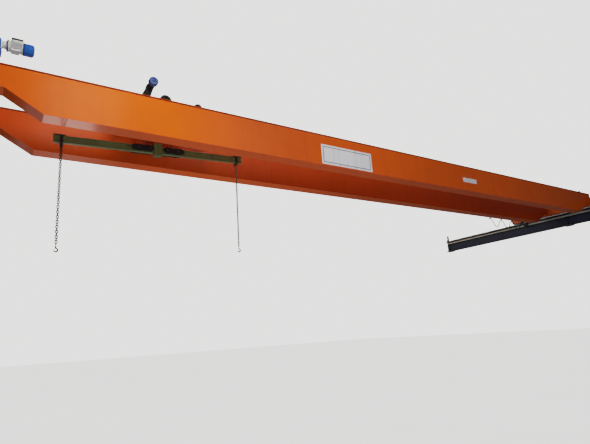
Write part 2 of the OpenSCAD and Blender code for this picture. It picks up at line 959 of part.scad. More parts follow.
// Sling hook: an eye on the last link, a shank and an open bowl
module hook(s) {
    eye_z = pin_z(s) + chain_end - eye_r + eye_bar / 2;
    color("#3d3935")
        translate([pin_x(s), 0, eye_z]) {
            rotate([90, 0, 90])
                rotate_extrude()
                    translate([eye_r, 0])
                        circle(d = eye_bar);
            translate([0, 0, -shank_l]) {
                cylinder(d1 = hook_d, d2 = 16, h = shank_l - eye_r - eye_bar / 2 + 5);
                sphere(d = hook_neck_d);
            }
            translate([0, 0, -shank_l - hook_r])
                rotate([90, 0, 0])
                    rotate([0, 0, 90 - hook_turn]) {
                        rotate_extrude(angle = hook_turn)
                            translate([hook_r, 0])
                                circle(d = hook_d);
                        translate([hook_r, 0, 0])
                            rotate([90, 0, 0])
                                cylinder(d1 = hook_d, d2 = hook_d - 12, h = 14);
                    }
        }
}

module left_hook() {
    hook(-1);
}

module right_hook() {
    hook(1);
}

bearing_plates();
runway_beams();
runway_rails();
runway_stops();
conductor_bar();
conductor_brackets();
top_flanges();
bottom_flanges();
near_outer_web();
near_inner_web();
far_outer_web();
far_inner_web();
girder_end_plates();
crab_rails();
crab_rail_stops();
end_carriages();
near_bridge_wheels();
far_bridge_wheels();
bridge_buffers();
travel_gearboxes();
travel_motors();
travel_motor_cowls();
name_boards();
collector();
collector_cable();
cable_clips();
crab_frame();
left_crab_wheels();
right_crab_wheels();
crab_gearbox();
crab_motor();
crab_motor_cowl();
rope_drums();
hoist_gearbox();
hoist_motor();
upper_sheaves();
hoist_ropes();
lifting_beam();
sheave_cheeks();
lower_sheaves();
chain_hangers();
left_chain();
right_chain();
left_hook();
right_hook();
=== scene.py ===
# %% [markdown]
# # An overhead bridge crane
# The crane is a lot of plain welded plate with a few rich machines on it: drives, drums,
# sheaves and chains. The plates come from the CAD model, which is loaded first and never
# moved. Everything that a plate can't show, such as fins, grooves, strands and welds, is
# worked out here as surfaces and laid in the same place.

import bpy
import numpy as np
from mathutils import Matrix


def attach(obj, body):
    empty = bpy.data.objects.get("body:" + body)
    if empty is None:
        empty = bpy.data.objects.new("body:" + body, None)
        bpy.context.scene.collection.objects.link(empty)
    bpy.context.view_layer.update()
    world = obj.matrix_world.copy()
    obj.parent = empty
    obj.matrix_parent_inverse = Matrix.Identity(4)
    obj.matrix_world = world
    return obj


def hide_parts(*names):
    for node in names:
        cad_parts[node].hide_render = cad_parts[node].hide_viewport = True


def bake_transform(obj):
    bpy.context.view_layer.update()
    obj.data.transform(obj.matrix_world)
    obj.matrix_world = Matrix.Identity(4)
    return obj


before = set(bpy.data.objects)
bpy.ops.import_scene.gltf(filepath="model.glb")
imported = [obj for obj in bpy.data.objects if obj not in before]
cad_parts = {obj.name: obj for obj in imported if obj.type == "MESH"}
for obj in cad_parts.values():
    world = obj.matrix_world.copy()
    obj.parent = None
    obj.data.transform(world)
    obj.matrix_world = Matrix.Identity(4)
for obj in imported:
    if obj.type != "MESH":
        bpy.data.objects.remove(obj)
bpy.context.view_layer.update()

# %% [markdown]
# ## Camera
# The photo was taken from below, on the hall's floor, looking up along the span. The three
# directions of the camera were solved from the girders' and the runway's vanishing points,
# so the picture of the model falls on the picture of the crane. The photo's camera holds its
# highlights back: up to 0.3 it shows a brightness as it is, and above that less and less of
# it. That is also what turns a bright red orange into a yellower one.

# %% Camera
scene = bpy.context.scene


def stand(thing, side, up, back, place):
    """Puts a camera or a lamp in its place, with its own x, y and z along side, up and back."""
    matrix = np.eye(4)
    matrix[:3] = np.stack([side, up, back, place], -1)
    thing.matrix_world = Matrix(matrix.tolist())
    scene.collection.objects.link(thing)


camera_place = (0.31, -9.23, -3.59)
camera_right = np.array([0.8327, -0.5504, -0.0645])
camera_up = np.array([-0.0769, -0.2300, 0.9702])
lens = bpy.data.cameras.new("camera")
lens.lens = 28.74
lens.sensor_width = 36.0
lens.clip_end = 400.0
camera = bpy.data.objects.new("camera", lens)
stand(camera, camera_right, camera_up, np.cross(camera_right, camera_up), camera_place)
scene.camera = camera

most_light = 4.0
shoulder = {0.3: 0.30, 0.5: 0.465, 0.75: 0.585, 1.1: 0.67, 2.0: 0.77}
view = scene.view_settings
view.view_transform = "Standard"
view.use_curve_mapping = True
view.curve_mapping.white_level = (most_light, most_light, most_light)
bend = view.curve_mapping.curves[3]
bend.points[0].location = (0.0, 0.0)
bend.points[1].location = (1.0, 1.0)
for scene_light, shown_light in shoulder.items():
    bend.points.new(scene_light / most_light, shown_light)
for point in bend.points:
    point.handle_type = "VECTOR"
view.curve_mapping.update()
print("camera at", camera_place, "with a lens of", lens.lens, "mm")

# %% [markdown]
# ## Surfaces
# Nearly every piece here is one of three things: a profile turned round an axis, an outline
# pushed along a line, or a section carried along a path. Each gives a grid of points, one
# row for each station, and the grid is joined with four-sided faces. A shape is kept as its
# points and its faces, so copies and mirrored copies cost nothing until the mesh is made.

# %% Grids of points
def mm(*numbers):
    """Pairs of millimetres as an array in metres."""
    return np.array(numbers, float) / 1000


def line(start, end, count=2):
    """Points evenly along a straight line."""
    return np.linspace(start, end, count)


def track(x, y, z):
    """Points from their x, y and z. Any of the three may be one number for all points."""
    return np.stack(np.broadcast_arrays(x, y, z), -1)


def ring(x, radius, count, start=0.0):
    """Places evenly round the x axis: y is radius times cosine, z is radius times sine."""
    turn = start + np.arange(count) * 2 * np.pi / count
    return track(x, radius * np.cos(turn), radius * np.sin(turn))


def surface(grid, path_closed=False):
    """Joins a grid, stations by points round, with faces. An open path gets a flat cap at each end."""
    stations, around = grid.shape[:2]
    index = np.arange(stations * around).reshape(stations, around)
    rows = np.vstack([index, index[:1]]) if path_closed else index
    wrapped = np.hstack([rows, rows[:, :1]])
    quads = np.stack([wrapped[:-1, :-1], wrapped[1:, :-1], wrapped[1:, 1:], wrapped[:-1, 1:]], -1)
    caps = [] if path_closed else [index[:1], index[-1:, ::-1]]
    return grid.reshape(-1, 3), [quads.reshape(-1, 4)] + caps


def lathe(profile, sides=40, closed=False):
    """Profile of (distance along x, radius) turned round x: y is radius times cosine, z radius times sine."""
    along, radius = np.asarray(profile, float).T[:, :, None]
    turn = np.linspace(0, 2 * np.pi, sides, endpoint=False)
    return surface(track(along, radius * np.cos(turn), radius * np.sin(turn)), closed)


def extruded(outline, stations):
    """An outline in y and z pushed along x. At a station (x, inset) it shrinks to its middle by the inset."""
    outline = np.asarray(outline, float)
    middle = (outline.max(0) + outline.min(0)) / 2
    half = (outline.max(0) - outline.min(0)) / 2
    along, inset = np.asarray(stations, float).T[:, :, None, None]
    flat = middle + (outline - middle) * (1 - inset / half)
    return surface(np.concatenate([np.broadcast_to(along, flat.shape[:2] + (1,)), flat], -1))


def carried(path, section, side, lift):
    """A section carried along a path: the path's point, plus the section's numbers times side and lift."""
    path, section = np.asarray(path, float), np.asarray(section, float)
    side, lift = np.broadcast_to(side, path.shape)[:, None], np.broadcast_to(lift, path.shape)[:, None]
    return surface(path[:, None] + section[None, :, :1] * side + section[None, :, 1:] * lift)


def tube(path, radius, sides=12, reference=(0, 1, 0), closed=False):
    """A round tube whose rings stand square to the path's direction, taken from the neighbouring points."""
    path = np.asarray(path, float)
    ahead = np.roll(path, -1, 0) - np.roll(path, 1, 0) if closed else np.gradient(path, axis=0)
    ahead /= np.linalg.norm(ahead, axis=1, keepdims=True)
    side = np.cross(ahead, reference)
    side /= np.linalg.norm(side, axis=1, keepdims=True)
    lift = np.cross(ahead, side)
    turn = np.linspace(0, 2 * np.pi, sides, endpoint=False)[None, :, None]
    radius = np.broadcast_to(np.asarray(radius, float), len(path))[:, None, None]
    around = np.cos(turn) * side[:, None] + np.sin(turn) * lift[:, None]
    return surface(path[:, None] + radius * around, closed)


# %% Outlines and small parts
def rounded_rectangle(half_a, half_b, radius, steps=5):
    """Four quarter circles, one at each corner of a rectangle, in order round it."""
    quarter = np.repeat(np.arange(4), steps)
    turn = quarter * np.pi / 2 + np.tile(np.linspace(0, np.pi / 2, steps), 4)
    sign_a, sign_b = np.array([1, -1, -1, 1])[quarter], np.array([1, 1, -1, -1])[quarter]
    return np.stack([sign_a * (half_a - radius) + radius * np.cos(turn),
                     sign_b * (half_b - radius) + radius * np.sin(turn)], -1)


def slab(low, high, rounding=0.004, chamfer=0.002, along=2):
    """A block whose four edges along one axis are rounded and whose two ends are chamfered."""
    low, high = np.array(low, float), np.array(high, float)
    others = [k for k in range(3) if k != along]
    middle, half = (low + high) / 2, (high - low) / 2
    rounding = min(rounding, 0.9 * half[others[0]], 0.9 * half[others[1]])
    reach = half[along]
    outline = rounded_rectangle(half[others[0]], half[others[1]], rounding)
    ends = [(-reach, chamfer), (chamfer - reach, 0), (reach - chamfer, 0), (reach, chamfer)]
    points, faces = extruded(outline, ends)
    order = np.empty(3, int)
    order[along], order[others[0]], order[others[1]] = 0, 1, 2
    return points[:, order] + middle, faces


def moved(shapes, origin=(0, 0, 0), x=(1, 0, 0), y=(0, 1, 0), z=(0, 0, 1)):
    """The shapes' own x, y and z laid along three directions of the frame, from an origin."""
    turned, origin = np.array([x, y, z], float), np.array(origin, float)
    return [(points @ turned + origin, faces) for points, faces in shapes]


def scattered(shapes, places, x=(1, 0, 0), y=(0, 1, 0)):
    """Copies of the shapes at many places, all turned the same way, with z square to x and y."""
    places = np.asarray(places, float).reshape(-1, 3)
    copies = []
    for points, faces in moved(shapes, x=x, y=y, z=np.cross(x, y)):
        step = len(points) * np.arange(len(places))[:, None, None]
        copies.append(((places[:, None] + points).reshape(-1, 3),
                       [(face[None] + step).reshape(-1, face.shape[1]) for face in faces]))
    return copies


def bolts(size, places, **ways):
    """A washer with a hexagon head on it at each place, standing along x. Size is the thread's diameter."""
    head = [lathe([(0, 1.1 * size), (0.18 * size, 1.1 * size)], 12),
            lathe([(0.18 * size, 0.95 * size), (0.74 * size, 0.95 * size), (0.84 * size, 0.8 * size)], 6)]
    return scattered(head, places, **ways)


def flipped(shapes, signs, origin=(0, 0, 0)):
    """The shapes with their axes' signs changed, laid from an origin."""
    return [(points * signs + origin, faces) for points, faces in shapes]


def both_rails(shapes):
    """The shapes at the left rail and their mirror image at the right one."""
    return shapes + flipped(shapes, (-1, 1, 1), (span, 0, 0))


def both_sides(shapes):
    """The shapes and their mirror image across the middle plane."""
    return shapes + flipped(shapes, (1, -1, 1))


span = 20.0
up, down = dict(x=(0, 0, 1), y=(1, 0, 0)), dict(x=(0, 0, -1), y=(1, 0, 0))
far, near = dict(x=(0, 1, 0), y=(1, 0, 0)), dict(x=(0, -1, 0), y=(1, 0, 0))
left = dict(x=(-1, 0, 0), y=(0, 1, 0))
near_and_far = ((-1, near), (1, far))
print("surface tools ready for a span of", span, "m")

# %% [markdown]
# ## From shapes to pieces
# A mirrored shape is inside out. The signed volume tells: it is the sum, over all faces, of
# the volume of the pyramid from the origin to that face, and it is negative when the faces
# look inwards. Each shape is turned round if it needs it, and only then becomes a mesh.

# %% Make a piece
piece_faces, materials = {}, {}
sharp_angle = np.radians(33)


def faces_outwards(points, faces):
    """The faces in the order that looks outwards, by the sign of the sum of the pyramids' volumes."""
    total = 0.0
    for face in faces:
        first = points[face[:, 0]]
        for k in range(1, face.shape[1] - 1):
            total += np.einsum("ij,ij->", first, np.cross(points[face[:, k]], points[face[:, k + 1]]))
    return faces if total > 0 else [face[:, ::-1] for face in faces]


def piece(name, shapes, body, material, replaces=(), ride=True):
    """One object from many shapes, smooth except where its faces meet at more than the sharp angle."""
    points, corners, sizes, base = [], [], [], 0
    for shape_points, faces in shapes:
        for face in faces_outwards(shape_points, faces):
            corners.append((face + base).ravel())
            sizes.append(np.full(len(face), face.shape[1]))
        points.append(shape_points)
        base += len(shape_points)
    points, corners, sizes = np.concatenate(points), np.concatenate(corners), np.concatenate(sizes)
    mesh = bpy.data.meshes.new(name)
    mesh.vertices.add(len(points))
    mesh.vertices.foreach_set("co", points.astype(np.float32).ravel())
    mesh.loops.add(len(corners))
    mesh.loops.foreach_set("vertex_index", corners.astype(np.int32))
    mesh.polygons.add(len(sizes))
    mesh.polygons.foreach_set("loop_start", np.concatenate([[0], np.cumsum(sizes)[:-1]]).astype(np.int32))
    mesh.update(calc_edges=True)
    mesh.validate()
    mesh.shade_smooth()
    mesh.set_sharp_from_angle(angle=sharp_angle)
    mesh.materials.append(materials[material])
    thing = bpy.data.objects.new(name, mesh)
    scene.collection.objects.link(thing)
    if ride:
        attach(thing, body)
    if replaces:
        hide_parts(*replaces)
    piece_faces[name] = len(sizes)
    print(f"{name}: {len(sizes)} faces on {body}")
    return thing


# %% [markdown]
# ## Shared finishes
# Two effects come back all over the crane, so each is a node group with its own dials.
# Aged paint is a colour that has faded in cloudy patches, with grime run down in streaks,
# chips, dust on whatever faces up, and the fine ripple that a spray gun leaves. Worn steel
# goes from bare metal to rust. Both read Object coordinates, so one patch is as big on a
# girder as on a gearbox.

# %% Node helpers
class Nodes:
    """One tree of shader nodes, with a word for each kind of node that the finishes are made of."""

    def __init__(self, tree):
        self.tree = tree

    def join(self, output, socket):
        """A link from an output to an input."""
        self.tree.links.new(output, socket)

    def add(self, kind, inputs=None, **settings):
        """A node with its settings, its inputs joined to a socket or set to a value; gives its outputs."""
        node = self.tree.nodes.new("ShaderNode" + kind)
        for key, value in settings.items():
            setattr(node, key, value)
        for key, value in (inputs or {}).items():
            if isinstance(value, bpy.types.NodeSocket):
                self.join(value, node.inputs[key])
            else:
                node.inputs[key].default_value = value
        return node.outputs

    def mixed(self, amount, first, second):
        """The colour that goes from first to second as the amount goes from 0 to 1."""
        return self.add("Mix", {0: amount, 6: first, 7: second}, data_type="RGBA")[2]

    def ranged(self, value, low, high, to_low=0.0, to_high=1.0):
        """The value, stretched from low..high to to_low..to_high and held at the ends."""
        return self.add("MapRange", {0: value, 1: low, 2: high, 3: to_low, 4: to_high})[0]

    def plus(self, first, second):
        """The sum of two numbers."""
        return self.add("Math", {0: first, 1: second}, operation="ADD")[0]

    def times(self, first, second):
        """The product of two numbers."""
        return self.add("Math", {0: first, 1: second}, operation="MULTIPLY")[0]

    def scaled(self, colour, amount):
        """A colour times a number."""
        return self.add("VectorMath", {0: colour, "Scale": amount}, operation="SCALE")[0]

    def noise(self, place, scale, detail=4.0, roughness=0.55):
        """Soft random clouds, with features about one over scale metres apart."""
        dials = {"Vector": place, "Scale": scale, "Detail": detail, "Roughness": roughness}
        return self.add("TexNoise", dials)["Fac"]

    def bumped(self, height):
        """The normal of a surface that stands up by a height in metres."""
        return self.add("Bump", {"Height": height, "Distance": 1.0, "Strength": 1.0})[0]


socket_kinds = {"Color": "Color", "Metal": "Float", "Roughness": "Float", "Normal": "Vector"}


def new_group(name, colours, numbers, results):
    """An empty shader group with colour inputs, number inputs and outputs, and its Object coordinates."""
    group = bpy.data.node_groups.new(name, "ShaderNodeTree")
    sockets = [(label, "INPUT", "Color") for label in colours]
    sockets += [(label, "INPUT", "Float") for label in numbers]
    sockets += [(label, "OUTPUT", socket_kinds[label]) for label in results]
    for label, way, kind in sockets:
        group.interface.new_socket(name=label, in_out=way, socket_type="NodeSocket" + kind)
    given = group.nodes.new("NodeGroupInput").outputs
    result = group.nodes.new("NodeGroupOutput").inputs
    nodes = Nodes(group)
    print(name, "has the dials", colours + numbers)
    return nodes, given, result, nodes.add("TexCoord")["Object"]


# %% Aged paint
settled_dust = (0.26, 0.235, 0.2, 1.0)
chip_depth = 0.0002
aged, given, result, place = new_group(
    "aged_paint", ["Paint", "Faded", "Grime"],
    ["Patch", "Streaks", "Dust", "Chips", "Roughness", "Ripple", "Waviness"],
    ["Color", "Roughness", "Normal"])
clouds = aged.noise(place, given["Patch"], 6.0, 0.6)
colour = aged.mixed(aged.ranged(clouds, 0.36, 0.66), given["Paint"], given["Faded"])
stretched = aged.add("Mapping", {"Vector": place, "Scale": (7.0, 7.0, 0.45)})[0]
runs = aged.ranged(aged.noise(stretched, 1.0, 5.0, 0.6), 0.5, 0.74)
colour = aged.mixed(aged.times(runs, given["Streaks"]), colour, given["Grime"])
blotches = aged.ranged(aged.noise(place, 2.3, 7.0, 0.68), 0.55, 0.72)
colour = aged.mixed(aged.times(blotches, given["Chips"]), colour, given["Grime"])
specks = aged.times(aged.ranged(aged.noise(place, 46.0, 3.0, 0.6), 0.68, 0.7), given["Chips"])
colour = aged.mixed(specks, colour, given["Grime"])
upward = aged.add("SeparateXYZ", {0: aged.add("NewGeometry")["Normal"]})[2]
settled = aged.times(aged.ranged(upward, 0.55, 0.95), given["Dust"])
settled = aged.times(settled, aged.ranged(clouds, 0.25, 0.6, 0.45, 1.0))
aged.join(aged.mixed(settled, colour, settled_dust), result["Color"])
matter = aged.plus(given["Roughness"], aged.ranged(blotches, 0.0, 1.0, 0.0, 0.12))
aged.join(aged.plus(matter, aged.times(settled, 0.35)), result["Roughness"])
peel = aged.times(aged.noise(place, 140.0, 2.0), given["Ripple"])
wave = aged.times(aged.noise(place, 1.9, 1.0), given["Waviness"])
aged.join(aged.bumped(aged.plus(aged.plus(peel, wave), aged.times(specks, -chip_depth))), result["Normal"])

# %% Worn steel
worn, given, result, place = new_group(
    "worn_steel", ["Steel", "Rust"], ["Rusting", "Roughness", "Pits"],
    ["Color", "Metal", "Roughness", "Normal"])
rusty = worn.ranged(worn.plus(worn.noise(place, 9.0, 8.0, 0.68), given["Rusting"]), 0.86, 1.08)
shades = worn.ranged(worn.noise(place, 55.0, 3.0), 0.3, 0.7, 0.75, 1.15)
steel, rust = worn.scaled(given["Steel"], shades), worn.scaled(given["Rust"], shades)
worn.join(worn.mixed(rusty, steel, rust), result["Color"])
worn.join(worn.ranged(rusty, 0.0, 1.0, 0.95, 0.12), result["Metal"])
worn.join(worn.plus(given["Roughness"], worn.ranged(rusty, 0.0, 1.0, 0.0, 0.35)), result["Roughness"])
worn.join(worn.bumped(worn.times(worn.noise(place, 180.0, 3.0), given["Pits"])), result["Normal"])

# %% [markdown]
# ## Materials
# A material places a group with its own values and keeps the shader itself. Gloss, coat and
# the like are the same all over a piece, so they are set on the shader's own sockets.

# %% Paints and steels
shader_sockets = {"Color": "Base Color", "Metal": "Metallic", "Roughness": "Roughness", "Normal": "Normal"}


def from_group(name, group, dials, constants):
    """A material whose shader takes each of the group's outputs, and its constants on its own sockets."""
    materials[name] = material = bpy.data.materials.new(name)
    material.use_nodes = True
    nodes = Nodes(material.node_tree)
    shader = material.node_tree.nodes["Principled BSDF"]
    for socket, value in constants.items():
        shader.inputs[socket].default_value = value
    for output in nodes.add("Group", dials, node_tree=group.tree):
        nodes.join(output, shader.inputs[shader_sockets[output.name]])


def painted(name, paint, faded, grime, patch=0.8, streaks=0.3, dust=0.5, chips=0.2, roughness=0.42,
            ripple=0.00003, waviness=0.0, coat=0.0, specular=0.5):
    """A paint that has aged, from its colour, the colour it fades to and the colour of its grime."""
    dials = {"Paint": (*paint, 1), "Faded": (*faded, 1), "Grime": (*grime, 1), "Patch": patch,
             "Streaks": streaks, "Dust": dust, "Chips": chips, "Roughness": roughness,
             "Ripple": ripple, "Waviness": waviness}
    gloss = {"Coat Weight": coat, "Coat Roughness": 0.15, "Specular IOR Level": specular}
    from_group(name, aged, dials, gloss)


def metal(name, steel, rust, rusting=0.35, roughness=0.35, pits=0.00006):
    """Steel that is bare in places and rusty in others."""
    dials = {"Steel": (*steel, 1), "Rust": (*rust, 1), "Rusting": rusting,
             "Roughness": roughness, "Pits": pits}
    from_group(name, worn, dials, {})


web = dict(patch=0.55, streaks=0.16, dust=0.55, chips=0.10, waviness=0.002, coat=0.28, specular=0.15)
painted("girder_orange", (0.74, 0.106, 0.006), (0.66, 0.093, 0.006), (0.22, 0.032, 0.006), **web)
# Painted shade: a darker, redder copy of the girder paint for both inner webs. It stands for the shade
# between the girders and the orange light bounced across the gap.
painted("painted_shade_orange", (0.60, 0.064, 0.006), (0.53, 0.055, 0.006), (0.19, 0.024, 0.006), **web)
# Painted shade: the top flanges are painted darker than the webs. This stands for the shadow under each
# flange's overhang, a dark line along the girder's top edge from below.
painted("painted_shade_flange_orange", (0.40, 0.052, 0.008), (0.32, 0.044, 0.008), (0.10, 0.024, 0.008),
        patch=0.9, dust=0.55, chips=0.25, roughness=0.46, coat=0.2, specular=0.25)
painted("weld_orange", (0.54, 0.070, 0.007), (0.44, 0.058, 0.007), (0.12, 0.024, 0.010),
        patch=9.0, dust=0.3, chips=0.3, roughness=0.45, ripple=0.0005)
# Painted shade: the fillets under the top flanges are painted dark brown. This stands for the shade in the
# corner under each flange's overhang.
painted("painted_shade_seam_brown", (0.130, 0.028, 0.008), (0.180, 0.036, 0.009), (0.05, 0.016, 0.008),
        patch=3.0, dust=0.2, chips=0.3, roughness=0.55, ripple=0.0004)
painted("crab_orange", (0.60, 0.080, 0.007), (0.48, 0.066, 0.007), (0.10, 0.036, 0.018),
        patch=2.0, dust=0.65, chips=0.3, coat=0.1)
painted("runway_navy", (0.006, 0.009, 0.028), (0.012, 0.016, 0.042), (0.035, 0.028, 0.024),
        patch=0.9, streaks=0.35, dust=0.7, roughness=0.50, waviness=0.001, specular=0.25)
painted("plate_grey", (0.045, 0.048, 0.055), (0.065, 0.068, 0.075), (0.07, 0.045, 0.03),
        patch=4.0, streaks=0.2, chips=0.5, roughness=0.5)
painted("drive_blue", (0.010, 0.086, 0.46), (0.014, 0.095, 0.40), (0.018, 0.026, 0.05),
        patch=9.0, dust=0.35, ripple=0.00005, coat=0.05, specular=0.3)
painted("dusty_blue", (0.030, 0.080, 0.30), (0.080, 0.120, 0.30), (0.020, 0.030, 0.07),
        patch=14.0, dust=0.6, chips=0.5, roughness=0.45, ripple=0.00005, specular=0.3)
painted("cast_blue", (0.008, 0.070, 0.36), (0.014, 0.095, 0.42), (0.020, 0.026, 0.05),
        patch=9.0, dust=0.4, chips=0.3, ripple=0.00035)
painted("motor_grey", (0.68, 0.68, 0.74), (0.57, 0.57, 0.62), (0.10, 0.095, 0.095),
        patch=10.0, streaks=0.35, dust=0.4, ripple=0.00008, coat=0.1)
painted("motor_black", (0.012, 0.013, 0.016), (0.022, 0.023, 0.028), (0.045, 0.040, 0.036),
        patch=9.0, roughness=0.45, ripple=0.00018)
painted("fitting_black", (0.010, 0.010, 0.012), (0.018, 0.018, 0.021), (0.045, 0.038, 0.032),
        patch=12.0, streaks=0.2, chips=0.25, roughness=0.55, ripple=0.00008, specular=0.35)
painted("beam_green", (0.150, 0.176, 0.066), (0.120, 0.140, 0.055), (0.060, 0.040, 0.018),
        patch=2.5, streaks=0.35, dust=0.35, chips=0.35, roughness=0.46, ripple=0.00006)
painted("board_white", (0.88, 0.90, 1.0), (0.80, 0.82, 0.94), (0.32, 0.30, 0.30),
        patch=1.6, dust=0.2, chips=0.06, roughness=0.38, ripple=0.00001, coat=0.1)
painted("shell_cream", (0.45, 0.55, 0.47), (0.38, 0.47, 0.40), (0.16, 0.13, 0.09),
        patch=1.4, streaks=0.1, ripple=0.00002)
painted("rubber_black", (0.012, 0.012, 0.013), (0.020, 0.019, 0.019), (0.05, 0.046, 0.042),
        patch=14.0, streaks=0.1, dust=0.55, roughness=0.62, ripple=0.00012, specular=0.4, chips=0.15)
painted("connector_white", (0.66, 0.66, 0.64), (0.58, 0.57, 0.54), (0.25, 0.22, 0.18),
        patch=20.0, streaks=0.2, dust=0.3, chips=0.1, roughness=0.4)
metal("rail_steel", (0.34, 0.31, 0.29), (0.095, 0.046, 0.026), 0.46, 0.34)
metal("wheel_steel", (0.22, 0.20, 0.19), (0.060, 0.034, 0.022), 0.48, 0.36, 0.0001)
metal("drum_steel", (0.30, 0.30, 0.31), (0.085, 0.055, 0.036), 0.34, 0.34)
metal("sheave_steel", (0.060, 0.056, 0.052), (0.050, 0.026, 0.014), 0.45, 0.55)
metal("rope_steel", (0.06, 0.05, 0.045), (0.030, 0.016, 0.012), 0.60, 0.50)
metal("chain_steel", (0.12, 0.11, 0.105), (0.050, 0.032, 0.024), 0.46, 0.4, 0.00012)
metal("dark_chain_steel", (0.040, 0.037, 0.035), (0.026, 0.017, 0.013), 0.50, 0.5, 0.00012)
# The crab guard's pale bluish wires are partly bright steel and partly painted highlight, standing for specks
# of light on the guard.
metal("guard_steel_and_painted_highlight", (0.55, 0.58, 0.66), (0.10, 0.09, 0.10), 0.30, 0.4)
metal("new_chain_steel", (0.46, 0.44, 0.42), (0.16, 0.12, 0.095), 0.30, 0.42, 0.00008)
metal("hook_steel", (0.16, 0.15, 0.14), (0.060, 0.038, 0.028), 0.44, 0.4, 0.0002)
metal("bolt_steel", (0.30, 0.29, 0.28), (0.10, 0.055, 0.032), 0.34, 0.42)
metal("strip_copper", (0.55, 0.27, 0.16), (0.16, 0.09, 0.06), 0.3, 0.3)
print(len(materials), "materials, all from two shared groups")

# %% Finishes of the CAD nodes that stay
stays = {
    "girder_orange": ["near_outer_web", "far_outer_web", "bottom_flanges", "girder_end_plates",
                      "end_carriages", "crab_rail_stops"],
    # The inner webs take the copy of the girder paint with painted shade and painted bounce light.
    # The top flanges' darker paint is painted shade under their overhang.
    "painted_shade_orange": ["near_inner_web", "far_inner_web"], "painted_shade_flange_orange": ["top_flanges"],
    "runway_navy": ["runway_beams", "runway_stops"], "plate_grey": ["bearing_plates"],
    "fitting_black": ["conductor_brackets", "collector", "cable_clips", "sheave_cheeks", "chain_hangers"],
    "rail_steel": ["crab_rails"], "crab_orange": ["crab_frame"], "beam_green": ["lifting_beam"],
}
for material_name, node_names in stays.items():
    for node_name in node_names:
        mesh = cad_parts[node_name].data
        mesh.materials.clear()
        mesh.materials.append(materials[material_name])
print(sum(map(len, stays.values())), "CAD nodes stay and have a finish")

# %% [markdown]
# ## Girders
# A box girder is four long plates. What makes it look welded and not moulded is the fillet
# in each corner, the butt weld where two plate lengths meet, and the short stitches that
# hold the crab rails down. A fillet is a small three-cornered section with a bulging face,
# carried along the joint, and the bottom one follows the soffit where it slopes up.

# %% Weld sections
def fillet(path, side, lift, leg=0.007):
    """A corner weld: legs along side and lift, and a face that bulges a little."""
    return carried(path, np.array([(0, 0), (1, 0), (0.76, 0.48), (0.48, 0.76), (0, 1)]) * leg, side, lift)


def butt_weld(path, side, lift, width=0.016, height=0.0025):
    """A flat weld across a plate joint: a low arch, as high as a cosine over its width."""
    across = np.linspace(-0.5, 0.5, 7)
    return carried(path, np.stack([across * width, height * np.cos(across * np.pi)], -1), side, lift)


girder_end, girder_y, girder_top, flange = 0.125, 0.835, 1.05, 0.012
soffit_low, weld_half = 0.27, 0.168
soffit_x = np.array([girder_end, 0.40, 1.00, 19.00, 19.60, span - girder_end])
soffit_z = np.array([0.63, 0.63, soffit_low, soffit_low, 0.63, 0.63])
web_faces = [(-0.980, -1), (-0.690, 1), (0.690, -1), (0.980, 1)]
web_joints, soffit_joints, top_joints = (6.4, 13.6), (1.35, 6.9, 13.1, 18.65), (4.4, 15.6)
stations = np.unique(np.concatenate([np.linspace(girder_end, span - girder_end, 60), soffit_x]))
soffit_path = track(stations, 0, np.interp(stations, soffit_x, soffit_z) + flange)
top_path = track(stations, 0, girder_top - flange)

welds, top_welds = [], []
for y, out in web_faces:
    top_welds.append(fillet(top_path + (0, y, 0), (0, out, 0), (0, 0, -1)))
    welds.append(fillet(soffit_path + (0, y, 0), (0, out, 0), (0, 0, 1)))
    welds += [butt_weld(line((x, y, 0.283), (x, y, 1.037)), (1, 0, 0), (0, out, 0)) for x in web_joints]
for y in (-girder_y, girder_y):
    for joints, z, out in ((soffit_joints, soffit_low, -1), (top_joints, girder_top, 1)):
        welds += [butt_weld(line((x, y - weld_half, z), (x, y + weld_half, z)), (1, 0, 0), (0, 0, out))
                  for x in joints]
piece("girder_welds", welds, "bridge", "weld_orange")
# The top fillets' dark brown is painted shade under the top flanges.
piece("girder_top_welds", top_welds, "bridge", "painted_shade_seam_brown")

# %% Stitches and bolts
stitch = fillet(line((-0.04, 0, 0), (0.04, 0, 0), 4), (0, 1, 0), (0, 0, 1), 0.006)
stitch_x = np.arange(0.45, 19.6, 0.30)
crab_rail_y, rail_foot_half, stop_bolt_gap = 0.74, 0.02, 0.022
stitches = []
for out in (-1, 1):
    places = track(stitch_x, crab_rail_y + out * rail_foot_half, girder_top)
    stitches += scattered(flipped([stitch], (1, out, 1)), places)
piece("rail_stitches", both_sides(stitches), "bridge", "weld_orange")

plate_bolts, pads = [], []
for y in (-girder_y, girder_y):
    plate_bolts += bolts(0.014, [(girder_end, y + side * 0.169, z) for side in (-1, 1)
                                 for z in (0.70, 0.79, 0.88, 0.97)])
for y in (-crab_rail_y, crab_rail_y):
    plate_bolts += bolts(0.012, [(0.28, y + side * stop_bolt_gap, z) for side in (-1, 1)
                                 for z in (1.10, 1.17)])
    pads.append(slab((0.28, y - 0.03, 1.105), (0.298, y + 0.03, 1.165), 0.012, 0.004, along=0))
piece("girder_end_bolts", both_rails(plate_bolts), "bridge", "bolt_steel")
piece("crab_stop_pads", both_rails(pads), "bridge", "rubber_black")

# %% [markdown]
# ## Runway
# A rolled beam needs little more than its own plates. Its rail is a square bar with rounded
# top edges, held by pairs of bolted clips, and the conductor bar beside it is a plastic
# shell, open at the front, with a strip of copper inside that the collector's shoe rubs on.

